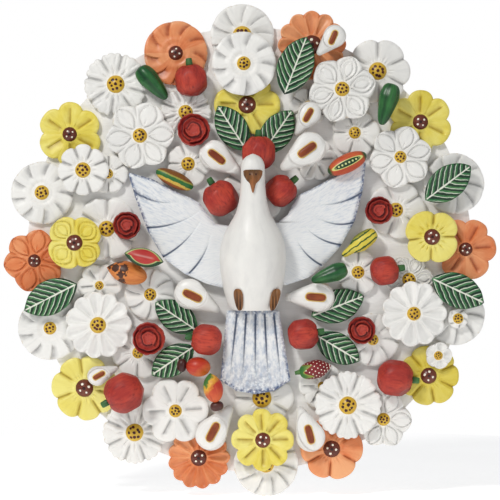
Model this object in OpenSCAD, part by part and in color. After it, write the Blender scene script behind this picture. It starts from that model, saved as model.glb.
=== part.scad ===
// Round wall wreath with a dove: carved and painted wooden flowers, leaves and fruit glued in
// layers on a disc, with a hanging ring in a pocket at the back.
// Every piece is drawn in plan, X right, Y up, Z out of the board, and turned upright at the end.

/* [Board] */
// Thickness of the round back board
board_t = 15; // [12:1:22]
// How far the board's edge lies outside the centres of the outermost flowers
board_margin = 4; // [0:1:20]
// Diameter of the spacer blocks under raised pieces
riser_d = 18; // [10:1:24]

/* [Flowers] */
// Diameter of a large flower, with which the whole layout spreads
flower_d = 80; // [60:1:110]
// Thickness of the petals
flower_t = 9; // [6:0.5:14]
// Height of a flower's round centre as a share of its radius
centre_bulge = 0.55; // [0.3:0.05:0.9]
// Width of a carved groove
groove_w = 1.6; // [0.8:0.1:3]
// Depth of a carved groove
groove_h = 1.5; // [0.5:0.1:3]

/* [Leaves and callas] */
// Length of a full-size leaf
leaf_l = 72; // [50:1:90]
// Width of a full-size leaf
leaf_w = 42; // [28:1:52]
// Thickness of a leaf
leaf_t = 5; // [3:0.5:9]
// Length of a full-size calla lily
calla_l = 60; // [45:1:75]
// Width of a full-size calla lily
calla_w = 37; // [24:1:46]
// Thickness of a calla lily
calla_t = 11; // [8:0.5:18]
// Depth of the scooped face of a calla lily
calla_scoop = 4; // [1:0.5:6]

/* [Fruit and roses] */
// Diameter of a full-size tomato
tomato_d = 41; // [30:1:52]
// Diameter of a full-size rose
rose_d = 36; // [26:1:46]
// Height of a rose
rose_h = 14; // [8:1:22]
// Length of a full-size green pepper
pepper_l = 50; // [36:1:62]
// Width of a full-size green pepper
pepper_w = 25; // [18:1:32]
// Height of a lying fruit's axis above its flat back, as a share of its half width
lie = 0.55; // [0.3:0.05:0.9]
// Height of a tomato's middle above its flat back, as a share of its radius
tomato_lie = 0.4; // [0.3:0.05:0.9]

/* [Dove] */
// Length of the dove from the crown of its head to the tip of its tail
dove_l = 292; // [240:1:360]
// Thickness of a wing
wing_t = 9; // [6:0.5:14]
// Thickness of the tail
tail_t = 8; // [6:0.5:14]
// Forward lean of the dove's body, in degrees
dove_lean = 11; // [4:1:14]

/* [Hanger] */
// Height of the hanger's hinge axis above the board's centre
hanger_y = 200; // [120:5:225]
// Diameter of the ring's wire
wire_d = 3; // [2:0.25:4]
// Width of the D ring between its wire's centre lines
ring_w = 26; // [22:1:34]
// Height of the D ring from its hinge axis to the top of its wire's centre line
ring_h = 24; // [18:1:34]
// Thickness of the strap plate
strap_t = 1.6; // [1:0.2:3]
// Width of the strap plate
strap_w = 18; // [14:1:20]
// Length of the strap plate below the hinge axis
strap_l = 42; // [36:1:60]
// Depth of the pocket in the board's back
pocket_h = 8; // [7:0.5:10]
// Diameter of the screws' shanks
screw_d = 3.5; // [3:0.25:4.5]

/* [Hidden] */
$fn = 64;
// The layout's own numbers are millimetres for a large flower of this diameter
layout_d = 80;
spread = flower_d / layout_d;
// The dove's own numbers are millimetres for this length
dove_drawn_l = 292;
dove_k = dove_l / dove_drawn_l;
// Running clearance of the ring's bar in its knuckle, on the radius
hinge_gap = 0.1;
// Clearance of a screw's shank in its hole, on the radius
screw_gap = 0.05;
// Clearance round the hanger in its pocket
pocket_gap = 4;
// A riser thinner than this is left out
riser_min = 0.4;
far = 400;

WHITE = [0.93, 0.93, 0.91];
YELLOW = [0.93, 0.83, 0.40];
ORANGE = [0.90, 0.55, 0.33];
BROWN = [0.33, 0.13, 0.10];
OCHRE = [0.85, 0.65, 0.18];
RED = [0.70, 0.17, 0.15];
GREEN = [0.16, 0.42, 0.20];
STEEL = [0.70, 0.71, 0.73];

// Flowers on the board, then those that lap over them:
// node, style, petals, x, y, radius, turn, centre's radius (0 where covered), centre's colour
FLAT = [
    ["white_cosmos_1", "toothed", 8, -163, 201, 40, 10, 11, "y"],
    ["yellow_lobed_1", "lobed", 6, -219, 140, 40, 30, 9, "b"],
    ["orange_pinwheel", "disc", 9, -90, 239, 40, 0, 9, "b"],
    ["white_disc_1", "disc", 9, -9, 260, 40, 10, 12, "y"],
    ["yellow_lobed_2", "lobed", 6, -3, 176, 41, 0, 11, "b"],
    ["orange_daisy_1", "daisy", 12, 76, 249, 43, 0, 12, "b"],
    ["white_lobed_1", "smooth", 6, 156, 217, 41, 0, 11, "y"],
    ["yellow_lobed_3", "lobed", 6, 208, 155, 40, 30, 9.5, "b"],
    ["white_ring_1", "disc", 9, -253, 69, 39, 0, 9, "y"],
    ["orange_jasmine", "almond", 6, -262, -14, 40, 15, 8, "b"],
    ["white_ring_2", "disc", 9, -243, -96, 40, 0, 8, "y"],
    ["yellow_cosmos_1", "toothed", 8, -201, -169, 41, 0, 11, "b"],
    ["white_cosmos_2", "toothed", 8, -140, -223, 40, 0, 11, "y"],
    ["orange_daisy_2", "daisy", 13, -62, -254, 39, 0, 10, "b"],
    ["white_disc_2", "disc", 10, 20, -262, 40, 0, 10, "y"],
    ["orange_lobed_1", "lobed", 6, 100, -243, 39, 0, 10.5, "b"],
    ["orange_lobed_2", "lobed", 6, 263, 0, 39, 0, 8.5, "b"],
    ["yellow_cosmos_2", "toothed", 7, 218, -154, 38, 0, 10, "b"],
    ["back_row_flowers", "toothed", 8, -78, 167, 32, 0, 9, "y"],
    ["back_row_flowers", "smooth", 5, -75, 104, 29, 0, 8.5, "y"],
    ["back_row_flowers", "smooth", 6, 72, 174, 24, 0, 7, "y"],
    ["back_row_flowers", "lobed", 6, 80, 109, 27, 0, 0, "y"],
    ["back_row_flowers", "smooth", 5, 128, 142, 31, 0, 7.5, "y"],
    ["back_row_flowers", "disc", 9, 249, 80, 38, 0, 0, "y"],
    ["back_row_flowers", "smooth", 6, -172, 92, 25, 0, 6, "y"],
    ["back_row_flowers", "smooth", 6, -174, 25, 40, 0, 10, "y"],
    ["back_row_flowers", "lobed", 6, -183, -44, 28, 0, 5.5, "y"],
    ["back_row_flowers", "disc", 8, -121, -55, 32, 0, 7.7, "y"],
    ["back_row_flowers", "smooth", 6, -136, -126, 33, 0, 7, "y"],
    ["back_row_flowers", "smooth", 5, 15, -181, 39, 0, 12, "y"],
    ["back_row_flowers", "lobed", 6, 88, -166, 29, 0, 5, "y"],
    ["back_row_flowers", "smooth", 6, 194, -37, 31, 0, 8.5, "y"],
    ["back_row_flowers", "smooth", 6, 132, -28, 28, 0, 8, "y"],
    ["back_row_flowers", "smooth", 5, 178, 48, 37, 0, 9, "y"],
    ["back_row_flowers", "disc", 9, 250, -80, 38, 0, 0, "y"],
    ["back_row_flowers", "almond", 6, 163, -207, 36, 0, 8, "y"],
    ["back_row_flowers", "disc", 8, 150, -110, 33, 0, 7, "y"],
    ["back_row_flowers", "smooth", 6, 6, 71, 41, 0, 0, "y"],
];
RAISED = [
    ["white_jasmine_1", "almond", 6, -133, 138, 43, 8, 9, "y"],
    ["white_puffy", "smooth", 8, -202, 96, 32, 0, 9.5, "y"],
    ["white_ring_3", "disc", 9, -7, 225, 40, 0, 8.5, "y"],
    ["yellow_cross_1", "cross", 4, -212, 8, 40, 45, 10, "b"],
    ["white_daisy_1", "daisy", 11, -184, -92, 42, 0, 10, "y"],
    ["white_star", "lobed", 6, -90, -196, 41, 0, 8, "y"],
    ["yellow_lobed_4", "lobed", 8, 16, -231, 39, 0, 9.5, "b"],
    ["white_cosmos_3", "toothed", 8, 119, -189, 42, 0, 11, "y"],
    ["white_daisy_2", "daisy", 11, 199, -78, 41, 0, 8.5, "y"],
    ["white_jasmine_2", "almond", 6, 183, 112, 40, 15, 7.5, "y"],
    ["white_jasmine_3", "almond", 6, 112, 194, 43, 13, 9, "y"],
    ["yellow_cross_2", "cross", 4, 221, 15, 40, 45, 10, "b"],
    ["small_white_discs", "smooth", 5, 229, -129, 17, 0, 5.5, "y"],
    ["small_white_discs", "disc", 5, 253, -84, 12.5, 0, 6.5, "y"],
];
// Leaves: x, y, angle from base to tip, size as a share of a full-size leaf
LEAVES = [
    [55.5, 222, 69, 1.06], [-21, 147, 123, 0.92], [33, 142, 55, 0.93], [-241, -58, 207, 1.02],
    [-89, -82, 146, 0.89], [-93, -135, 214, 0.88], [107, -69, 21, 0.98], [107, -120, -31, 0.88],
    [240, 80, 37, 0.98], [252, -50, -25, 1.0],
];
// Calla lilies: x, y, angle from tail to head, size, turn of the spadix from that angle, and
// whether it lies beside the dove's body and moves with its size
CALLAS = [
    [97, 251, 47, 0.75, 20, false], [68, 157, 60, 0.77, 0, false], [63, 115, 36, 1.06, 0, true],
    [-34, 108, 145, 1.0, 177, true], [-63, -60, 150, 1.02, 185, true], [73, -58, 0, 1.02, -4, true],
    [-40, -215, 234, 1.05, 8, false], [70, -217, 291, 0.97, -6, false], [-178, -151, 202, 0.66, 8, false],
];
// Green peppers: x, y, angle towards the narrow end, size
PEPPERS = [[-116, 200, -48, 1.02], [165, 175, 255, 1.04], [96, -31, 200, 0.92]];
// Roses: x, y, size
ROSES = [[-68, 145, 1.14], [-149, 29, 0.97], [-122, -108, 1.14], [136, -98, 0.97], [157, 47, 0.97]];
// Tomatoes: x, y, angle of the stem, size, whether it moves with the dove's size, and the angle at
// which it gives way to its neighbours when it is larger
TOMATOES = [
    [-71, 205, 96, 1.03, false, 60], [11, 117, 90, 1.07, true, 90], [-35, 62, 121, 1.1, true, 160],
    [38, 71, 40, 0.98, true, 20], [-52, -109, 172, 0.98, false, 110], [65, -103, 9, 0.98, false, 60],
    [164, -26, 9, 0.93, false, 20], [176.5, -156, -7, 1.15, false, -60], [-151, -173, 209, 1.24, false, 200],
];
// Single fruits lying on their flat backs: node, x, y, angle, length, width, end shapes
FRUITS = [
    ["corn_cob", -91, 85, -25, 50, 20, 0.5, 0.5],
    ["cut_fruit", 118, 104, 25, 52, 23, 0.5, 0.5],
    ["spotted_fruit", -149, -28, 165, 51, 28, 0.5, 0.9],
    ["gourd", 132, 5, 216, 51, 22, 0.25, 0.8],
    ["strawberry", 80, -145, 13, 40, 23, 0.35, 0.9],
    ["cashew_fruits", -62, -142, -5, 30, 24, 0.5, 0.5],
    ["cashew_fruits", -44, -166, 102, 36, 24, 0.5, 0.8],
    ["watermelon_slice", -127, -10, -13, 49, 23, 0.5, 0.5],
];
// The dove's outlines, from the board's centre
WING_LEFT = [
    [-148, 94], [-117, 85], [-93, 72], [-72, 63], [-61, 57], [-51, 44], [-41, 31], [-26, 29],
    [2, 26], [2, -40], [-33, -47], [-53, -42], [-79, -30], [-105, -11], [-124, 22], [-139, 62],
];
WING_RIGHT = [
    [142, 110], [104, 89], [76, 74], [59, 66], [51, 52], [46, 42], [34, 33], [5, 26],
    [5, -40], [44, -44], [71, -35], [88, -22], [111, 4], [128, 34], [138, 72],
];
WING_LEFT_FEATHERS = [
    [[-137, 59], [-89, 50]], [[-123, 22], [-66, 39]], [[-105, -8], [-66, 26]], [[-71, -28], [-51, 18]],
];
WING_RIGHT_FEATHERS = [
    [[137, 71], [78, 55]], [[126, 34], [80, 42]], [[111, 4], [68, 31]], [[87, -20], [57, 16]],
];
TAIL = [[-28, -74], [36, -74], [50, -159], [30, -172], [7, -176], [-16, -172], [-36, -159]];
// Half widths of the dove's body along its axis, from its tail end to its crown
BODY = [
    [-78, 28], [-70, 31], [-50, 36], [-30, 39.5], [-10, 41], [5, 39.5], [17, 36], [30, 29],
    [44, 21], [58, 17], [69, 15.7], [80, 14.2], [92, 14.4], [103, 14.3], [110, 11.5], [115, 6], [116.5, 0],
];
DOVE_X = 4;

function at(x, y) = [x * spread, y * spread];
function dove_at(p) = p * dove_k;
function beside(x, y, moves) = at(x, y) + (moves ? dove_k - 1 : 0) * [x, y];
// The layout's own numbers are millimetres for a full-size tomato of this diameter
tomato_drawn_d = 41;
function tomato_at(c) = beside(c[0], c[1], c[4])
    + (tomato_d - tomato_drawn_d) / 2 * c[3] * [cos(c[5]), sin(c[5])];

// A piece for stacking: node, kind, row, its feet [x, y, r], its columns [x, y, r, height],
// its centre, and whether it lies straight on the board
function flower_r(f) = f[5] * spread;
function centre_h(f) = f[7] * spread * centre_bulge;
function flower_item(f, flat) = let (p = at(f[3], f[4]), r = flower_r(f))
    [f[0], f, [[p.x, p.y, r]],
     [[p.x, p.y, r, flower_t], if (f[7] > 0) [p.x, p.y, f[7] * spread, flower_t + centre_h(f)]], p, flat];
// A long piece's feet are circles along its axis, that just fit inside its oval outline
function feet(p, a, l, w) = [for (t = [-0.9, -0.66, -0.33, 0, 0.33, 0.66, 0.9])
    [p.x + cos(a) * t * l / 2, p.y + sin(a) * t * l / 2,
     min(w / 2 * (1 - pow(t, 2)) + 1, l / 2 * (1 - abs(t)))]];
function raised(circles, h) = [for (c = circles) [c.x, c.y, c[2], h]];
function long_item(name, row, p, a, l, w, h) =
    let (f = feet(p, a, l, w)) [name, row, f, raised(f, h), p, false];
// A teardrop's circles run from its tip to its round head; tip_share is the tip's radius by the width
tip_share = 0.14;
function tear_feet(p, a, l, w) = [for (t = [0:0.25:1])
    let (r = w / 2 * t + w * tip_share * (1 - t),
         x = (l / 2 - w / 2) * t - (l / 2 - w * tip_share) * (1 - t))
    [p.x + cos(a) * x, p.y + sin(a) * x, r]];
function calla_item(c) =
    let (p = beside(c[0], c[1], c[5]), f = tear_feet(p, c[2], calla_l * c[3], calla_w * c[3]))
    ["calla_lilies", c, f, raised(f, calla_t), p, false];
function fruit_h(w) = w / 2 * (1 + lie);
function inside(p, o) = len([for (i = [0:len(o) - 1])
    let (a = o[i], b = o[(i + 1) % len(o)])
    if ((a.y > p.y) != (b.y > p.y) && p.x < (b.x - a.x) * (p.y - a.y) / (b.y - a.y) + a.x) i]) % 2 == 1;
// A flat outline's feet are points on a grid inside it and along its edge
cover_step = 6;
edge_step = 2;
point_r = 0.2;
function grid_feet(o) = [for (x = [-150:cover_step:150]) for (y = [-180:cover_step:120])
    if (inside([x, y], o)) [x * dove_k, y * dove_k, point_r]];
function edge_feet(o) = [for (i = [0:len(o) - 1])
    let (a = o[i], b = o[(i + 1) % len(o)], n = ceil(norm(b - a) / edge_step))
    for (k = [0:n - 1]) let (p = dove_at(a + (b - a) * k / n)) [p.x, p.y, point_r]];
function cover(o) = concat(grid_feet(o), edge_feet(o));
function cover_item(name, f, t) = [name, 0, f, raised(f, t), [0, 0], false];

// The order in which the pieces are glued on
ITEMS = concat(
    [for (f = FLAT) flower_item(f, true)],
    [for (f = RAISED) flower_item(f, false)],
    [for (c = LEAVES) long_item("leaves", c, at(c[0], c[1]), c[2], leaf_l * c[3], leaf_w * c[3], leaf_t)],
    [cover_item("dove_wings", concat(cover(WING_LEFT), cover(WING_RIGHT)), wing_t),
     cover_item("dove_tail", cover(TAIL), tail_t)],
    [for (r = ROSES) let (p = at(r[0], r[1]), q = rose_d / 2 * r[2])
        ["roses", r, [[p.x, p.y, q]], [[p.x, p.y, q, rose_h]], p, false]],
    [for (c = CALLAS) calla_item(c)],
    [for (c = PEPPERS) long_item("green_peppers", c, at(c[0], c[1]), c[2], pepper_l * c[3], pepper_w * c[3],
        fruit_h(pepper_w * c[3]))],
    [for (c = TOMATOES) let (p = tomato_at(c), q = tomato_d / 2 * c[3])
        ["tomatoes", c, [[p.x, p.y, q]], [[p.x, p.y, q, q * (1 + tomato_lie)]], p, false]],
    [for (c = FRUITS) long_item(c[0], c, at(c[1], c[2]), c[3], c[4] * spread, c[5] * spread,
        fruit_h(c[5] * spread))]
);
NODE_AT = 0;
ROW = 1;
FEET = 2;
COLUMNS = 3;
PLACE = 4;
ON_BOARD = 5;

function highest(circles, columns) = max([board_t,
    for (c = columns) for (f = circles) if (norm([c.x - f.x, c.y - f.y]) < c[2] + f[2]) c[3]]);
function lifted(columns, z) = [for (c = columns) [c.x, c.y, c[2], c[3] + z]];
// Each piece's seat and the foot of its riser: it lies on the highest thing that it laps
function stack(i = 0, columns = [], seats = []) = i == len(ITEMS) ? seats
    : let (item = ITEMS[i],
           seat = item[ON_BOARD] ? board_t : highest(item[FEET], columns),
           foot = highest([[item[PLACE].x, item[PLACE].y, riser_d / 2]], columns))
      stack(i + 1, concat(columns, lifted(item[COLUMNS], seat)), concat(seats, [[seat, foot]]));
SEATS = stack();
function first(name) = [for (i = [0:len(ITEMS) - 1]) if (ITEMS[i][NODE_AT] == name) i][0];
wing_seat = SEATS[first("dove_wings")][0];
body_seat = wing_seat + wing_t;
tail_seat = SEATS[first("dove_tail")][0];
board_r = max([for (f = FLAT) norm(at(f[3], f[4]))]) + board_margin;

FLOWER_NODES = [for (i = [0:len(FLAT) - 1]) if (FLAT[i][0] != "back_row_flowers") FLAT[i][0]];
RAISED_NODES = [for (f = RAISED) if (f[0] != "small_white_discs") f[0]];

// Turns the plan upright: the board's back lies on Y = 0 and the pieces face -Y
module upright() rotate([90, 0, 0]) children();
module above() translate([-far, -far, 0]) cube([2 * far, 2 * far, far]);

// Draws child 0 at each piece of a node
module each_of(name) for (i = [0:len(ITEMS) - 1]) if (ITEMS[i][NODE_AT] == name) {
    $row = ITEMS[i][ROW];
    upright() translate([ITEMS[i][PLACE].x, ITEMS[i][PLACE].y, SEATS[i][0]]) children();
}

module almond(l, w) {
    arc_r = (l * l + w * w) / (4 * w);
    intersection() {
        translate([0, arc_r - w / 2]) circle(arc_r);
        translate([0, w / 2 - arc_r]) circle(arc_r);
    }
}

// Round petals that overlap their neighbours, more so for a greater swell; their outer radius is r
module round_petals(r, n, swell) {
    ring_r = r / (1 + sin(180 / n) * swell);
    circle(ring_r);
    for (i = [0:n - 1]) rotate(i * 360 / n) translate([ring_r, 0]) circle(r - ring_r);
}

function swell(style) = style == "cross" ? 1.7 : style == "lobed" ? 2.6 : 2;
module flower_outline(style, n, r) {
    if (style == "disc") circle(r);
    if (style != "disc") round_petals(r, n, swell(style));
}
// The incised outline of a pointed petal
module almond_line(l, w) difference() {
    almond(l, w);
    almond(l - 2.4 * groove_w, w - 1.6 * groove_w);
}

module flower(f) {
    r = flower_r(f);
    n = f[2];
    mid = f[1] == "lobed";
    rotate(f[6]) difference() {
        linear_extrude(flower_t) flower_outline(f[1], n, r);
        for (i = [0:n - 1]) {
            if (f[1] != "almond") rotate((i + (mid ? 0 : 0.5)) * 360 / n)
                translate([r * 0.42, -groove_w / 2, flower_t - groove_h]) cube([r * 0.42, groove_w, far]);
            if (f[1] == "almond") rotate(i * 360 / n) translate([r * 0.62, 0, flower_t - groove_h])
                linear_extrude(far) almond_line(r * 0.62, r * 0.36);
        }
    }
}

module flower_node(name) {
    c = name[0] == "y" ? YELLOW : name[0] == "o" ? ORANGE : WHITE;
    color(c) each_of(name) flower($row);
}

// Round centres, caps of a sphere that sit on the petals
module cap(r, h) {
    sphere_r = (r * r + h * h) / (2 * h);
    intersection() {
        translate([0, 0, h - sphere_r]) sphere(sphere_r);
        translate([-r, -r, 0]) cube([2 * r, 2 * r, h]);
    }
}

module centres(colour) for (i = [0:len(FLAT) + len(RAISED) - 1]) {
    f = ITEMS[i][ROW];
    if (f[8] == colour && f[7] > 0)
        upright() translate([ITEMS[i][PLACE].x, ITEMS[i][PLACE].y, SEATS[i][0] + flower_t])
            cap(f[7] * spread, centre_h(f));
}
module yellow_centres() color(OCHRE) centres("y");
module brown_centres() color(BROWN) centres("b");

module riser_blocks() color("burlywood") {
    for (i = [0:len(ITEMS) - 1]) {
        p = ITEMS[i][PLACE];
        gap = SEATS[i][0] - SEATS[i][1];
        if (!is_num(ITEMS[i][ROW]) && gap > riser_min)
            upright() translate([p.x, p.y, SEATS[i][1]]) cylinder(d = riser_d, h = gap);
    }
}

hinge_z = wire_d / 2 + hinge_gap + strap_t + 0.2;
screw_ys = [-strap_l * 0.32, -strap_l * 0.8];
screw_head_r = screw_d * 1.15;
screw_head_h = screw_d * 0.6;
screw_l = board_t - pocket_h - 1;
// Places the hanger: its own X is right, Y is up and Z is out of the board's back
module on_hinge() translate([0, 0, hanger_y]) rotate([90, 0, 0]) mirror([0, 0, 1])
    translate([0, 0, -pocket_h]) children();

module back_board() color([0.85, 0.84, 0.81]) difference() {
    upright() cylinder(r = board_r, h = board_t, $fn = 128);
    on_hinge() {
        translate([-ring_w / 2 - wire_d - pocket_gap, -strap_l - pocket_gap, 0])
            cube([ring_w + 2 * wire_d + 2 * pocket_gap, strap_l + ring_h + wire_d + 2 * pocket_gap, far]);
        for (y = screw_ys) translate([0, y, -screw_l]) cylinder(r = screw_d / 2 + screw_gap, h = far);
    }
}

module hanger_strap() color(STEEL) on_hinge() difference() {
    union() {
        translate([-strap_w / 2, strap_w / 2 - strap_l, 0])
            cube([strap_w, strap_l - strap_w / 2, strap_t]);
        translate([0, -strap_l + strap_w / 2, 0]) cylinder(d = strap_w, h = strap_t);
        translate([-strap_w / 2, 0, hinge_z]) rotate([0, 90, 0]) cylinder(r = hinge_z, h = strap_w);
    }
    translate([-strap_w / 2 - 1, 0, hinge_z]) rotate([0, 90, 0])
        cylinder(r = wire_d / 2 + hinge_gap, h = strap_w + 2);
    for (y = screw_ys) translate([0, y, -1]) cylinder(r = screw_d / 2 + screw_gap, h = strap_t + 2);
}

module hanger_ring() color(STEEL) on_hinge() translate([0, 0, hinge_z]) {
    leg = ring_h - ring_w / 2;
    translate([-ring_w / 2, 0, 0]) rotate([0, 90, 0]) cylinder(d = wire_d, h = ring_w);
    for (side = [-1, 1]) translate([side * ring_w / 2, 0, 0]) {
        sphere(d = wire_d);
        rotate([-90, 0, 0]) cylinder(d = wire_d, h = leg);
    }
    translate([0, leg, 0]) rotate_extrude(angle = 180) translate([ring_w / 2, 0]) circle(d = wire_d);
}

module hanger_screws() color(STEEL) on_hinge() for (y = screw_ys) translate([0, y, 0]) {
    translate([0, 0, -screw_l]) cylinder(d = screw_d, h = screw_l + strap_t + screw_head_h / 2);
    translate([0, 0, strap_t]) cylinder(r = screw_head_r, h = screw_head_h);
}

module leaf(l, w) {
    difference() {
        linear_extrude(leaf_t) almond(l, w);
        translate([-l * 0.42, -groove_w / 2, leaf_t - groove_h]) cube([l * 0.84, groove_w, far]);
    }
}
module leaves() color(GREEN) each_of("leaves") rotate($row[2]) leaf(leaf_l * $row[3], leaf_w * $row[3]);

// A teardrop with its round head towards +X: two arcs joined by their tangents
module teardrop(l, w) {
    r = w / 2;
    head = [l / 2 - r, 0];
    tip_r = w * tip_share;
    tip = [tip_r - l / 2, 0];
    slope = asin((r - tip_r) / (head.x - tip.x));
    head_end = 90 + slope;
    tip_end = 90 - slope;
    polygon(concat(
        [for (i = [-12:12]) head + r * [cos(i * head_end / 12), sin(i * head_end / 12)]],
        [for (i = [-4:4]) tip + tip_r * [cos(180 + i * tip_end / 4), sin(180 + i * tip_end / 4)]]));
}

// Where a calla's scoop and spadix are centred, as a share of its length from its middle
calla_face = 0.12;
module calla(l, w) difference() {
    linear_extrude(calla_t) teardrop(l, w);
    translate([l * calla_face, 0, calla_t - calla_scoop]) linear_extrude(far) almond(l * 0.62, w * 0.66);
}
module calla_lilies() color(WHITE) each_of("calla_lilies") rotate($row[2])
    calla(calla_l * $row[3], calla_w * $row[3]);
module spadix(l, r) intersection() {
    rotate([0, 90, 0]) {
        translate([0, 0, -l / 2 + r]) cylinder(r = r, h = l - 2 * r);
        for (e = [-1, 1]) translate([0, 0, e * (l / 2 - r)]) sphere(r);
    }
    above();
}
module calla_spadices() color(BROWN) each_of("calla_lilies") rotate($row[2])
    translate([calla_l * $row[3] * calla_face, 0, calla_t - calla_scoop]) rotate($row[4])
        spadix(calla_l * $row[3] * 0.4, calla_w * $row[3] * 0.12);

// A rose seen from above: rolled petals as steps round the middle
module rose(r) for (i = [0:3]) cylinder(r = r * (1 - 0.22 * i), h = rose_h * (0.55 + 0.15 * i));
module roses() color(RED) each_of("roses") rose(rose_d / 2 * $row[2]);

// A fruit lying on its flat back: a turned body along X, round at both ends, at its own lie.
// blunt_a and blunt_b say how full its left and right ends are
function end_r(t, blunt) = pow(1 - pow(t, 2), blunt);
module lying(l, w, blunt_a, blunt_b) {
    steps = 8;
    intersection() {
        translate([0, 0, w / 2 * lie]) rotate([0, 90, 0]) rotate_extrude() polygon(concat(
            [[0, -l / 2]],
            [for (i = [-steps + 1:steps - 1]) let (t = i / steps)
                [w / 2 * end_r(abs(t), t < 0 ? blunt_a : blunt_b), t * l / 2]],
            [[0, l / 2]]));
        above();
    }
}

module green_peppers() color(GREEN) each_of("green_peppers") rotate($row[2])
    lying(pepper_l * $row[3], pepper_w * $row[3], 0.35, 0.9);

module tomato_body(r) translate([0, 0, r * tomato_lie]) sphere(r);
// The tomato behind the dove's head is cut back where the head rests against it
module tomatoes() color(RED) difference() {
    each_of("tomatoes") intersection() {
        tomato_body(tomato_d / 2 * $row[3]);
        above();
    }
    dove_body_shape();
}
stem_r = 4.4;
stem_l = 6;
module fruit_stems() color(GREEN) {
    each_of("tomatoes") {
        r = tomato_d / 2 * $row[3];
        difference() {
            rotate($row[2]) translate([0, 0, r * tomato_lie]) rotate([0, 90, 0])
                cylinder(r = stem_r, h = r + stem_l);
            tomato_body(r);
        }
    }
    // The strawberry's calyx and stem
    each_of("strawberry") rotate($row[3]) {
        l = $row[4] * spread;
        w = $row[5] * spread;
        translate([-l / 2 - stem_l, 0, w / 2 * lie]) rotate([0, 90, 0])
            cylinder(r1 = stem_r, r2 = w * 0.3, h = stem_l);
    }
}

module fruit(name) each_of(name) rotate($row[3])
    lying($row[4] * spread, $row[5] * spread, $row[6], $row[7]);
module corn_cob() color(OCHRE) fruit("corn_cob");
module cut_fruit() color(RED) fruit("cut_fruit");
module spotted_fruit() color(ORANGE) fruit("spotted_fruit");
module gourd() color(YELLOW) fruit("gourd");
module strawberry() color(RED) fruit("strawberry");
module cashew_fruits() color(RED) fruit("cashew_fruits");
// A cashew nut hangs from the left end of its fruit
module cashew_nuts() color(BROWN) each_of("cashew_fruits") rotate($row[3]) {
    l = $row[4] * spread;
    w = $row[5] * spread;
    difference() {
        translate([-l / 2 - w * 0.2, 0, 0]) rotate(90) lying(w * 0.68, w * 0.52, 0.4, 0.4);
        lying(l, w, $row[6], $row[7]);
    }
}
module watermelon_slice() color(RED) each_of("watermelon_slice") rotate($row[3])
    linear_extrude(fruit_h($row[5] * spread)) almond($row[4] * spread, $row[5] * spread);

module feathered(outline, lines, t) {
    difference() {
        linear_extrude(t) polygon(dove_at(outline));
        for (f = lines) {
            way = dove_at(f[1] - f[0]);
            translate(dove_at(f[0]) + 0.08 * way) rotate(atan2(way.y, way.x))
                translate([0, -groove_w / 2, t - groove_h]) cube([norm(way) * 0.84, groove_w, far]);
        }
    }
}
module dove_wing_left() color(WHITE) upright() translate([0, 0, wing_seat])
    feathered(WING_LEFT, WING_LEFT_FEATHERS, wing_t);
module dove_wing_right() color(WHITE) upright() translate([0, 0, wing_seat])
    feathered(WING_RIGHT, WING_RIGHT_FEATHERS, wing_t);
module dove_tail() color([0.55, 0.65, 0.75]) upright() translate([0, 0, tail_seat])
    feathered(TAIL, [for (i = [-2:2]) [[DOVE_X + i * 13, -84], [DOVE_X + 2 + i * 16.5, -158]]], tail_t);

// The dove's body is one turned shape, leaning forward at the head and flat at the back
body_axis_z = body_seat + 15 * dove_k;
module leaning() translate([DOVE_X * dove_k, 0, body_axis_z]) rotate([dove_lean, 0, 0]) children();
module body_turned() leaning() rotate([-90, 0, 0]) rotate_extrude()
    polygon(dove_at(concat([[0, BODY[0][0]]], [for (b = BODY) [b[1], b[0]]])));
module dove_body_shape() upright() intersection() {
    body_turned();
    translate([-far, TAIL[0].y * dove_k, body_seat]) cube([2 * far, far, far]);
}
module dove_body() color(WHITE) dove_body_shape();

// The beak: a mask over the face and a cone that points down and out
MASK = [[-5, 95], [-7.6, 93], [-7.6, 90], [2, 71], [6, 71], [15.6, 90], [15.6, 93], [13, 95]];
mask_t = 1.6;
module beak_mask() intersection() {
    translate([0, 0, body_axis_z]) linear_extrude(far) polygon(dove_at(MASK));
    leaning() intersection() {
        rotate([-90, 0, 0]) rotate_extrude() polygon(dove_at(concat(
            [[0, BODY[0][0]]], [for (b = BODY) [b[1] + (b[1] > 0 ? mask_t : 0), b[0]]])));
        above();
    }
}
module dove_beak() color(BROWN) upright() difference() {
    union() {
        beak_mask();
        leaning() translate([0, 93 * dove_k, 8 * dove_k]) rotate([58, 0, 0])
            cylinder(r1 = 8 * dove_k, r2 = 1.5 * dove_k, h = 24 * dove_k);
    }
    body_turned();
}

foot_w = 13;
foot_l = 27;
module dove_feet() color(BROWN) upright() difference() {
    for (x = [-13, 30]) translate([(x - foot_w / 2) * dove_k, -74 * dove_k, body_seat + 18 * dove_k])
        cube([foot_w * dove_k, foot_l * dove_k, 18 * dove_k]);
    body_turned();
}

for (name = concat(FLOWER_NODES, RAISED_NODES, ["back_row_flowers", "small_white_discs"]))
    flower_node(name);
yellow_centres();
brown_centres();
back_board();
riser_blocks();
hanger_strap();
hanger_ring();
hanger_screws();
leaves();
calla_lilies();
calla_spadices();
roses();
green_peppers();
tomatoes();
fruit_stems();
corn_cob();
cut_fruit();
spotted_fruit();
gourd();
strawberry();
cashew_fruits();
cashew_nuts();
watermelon_slice();
dove_wing_left();
dove_wing_right();
dove_tail();
dove_body();
dove_beak();
dove_feet();
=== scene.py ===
"""The carved and painted look of the dove wreath, built round its CAD frame, in millimetres."""

import math

import bpy
import numpy as np
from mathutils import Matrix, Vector
from mathutils.bvhtree import BVHTree

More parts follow.
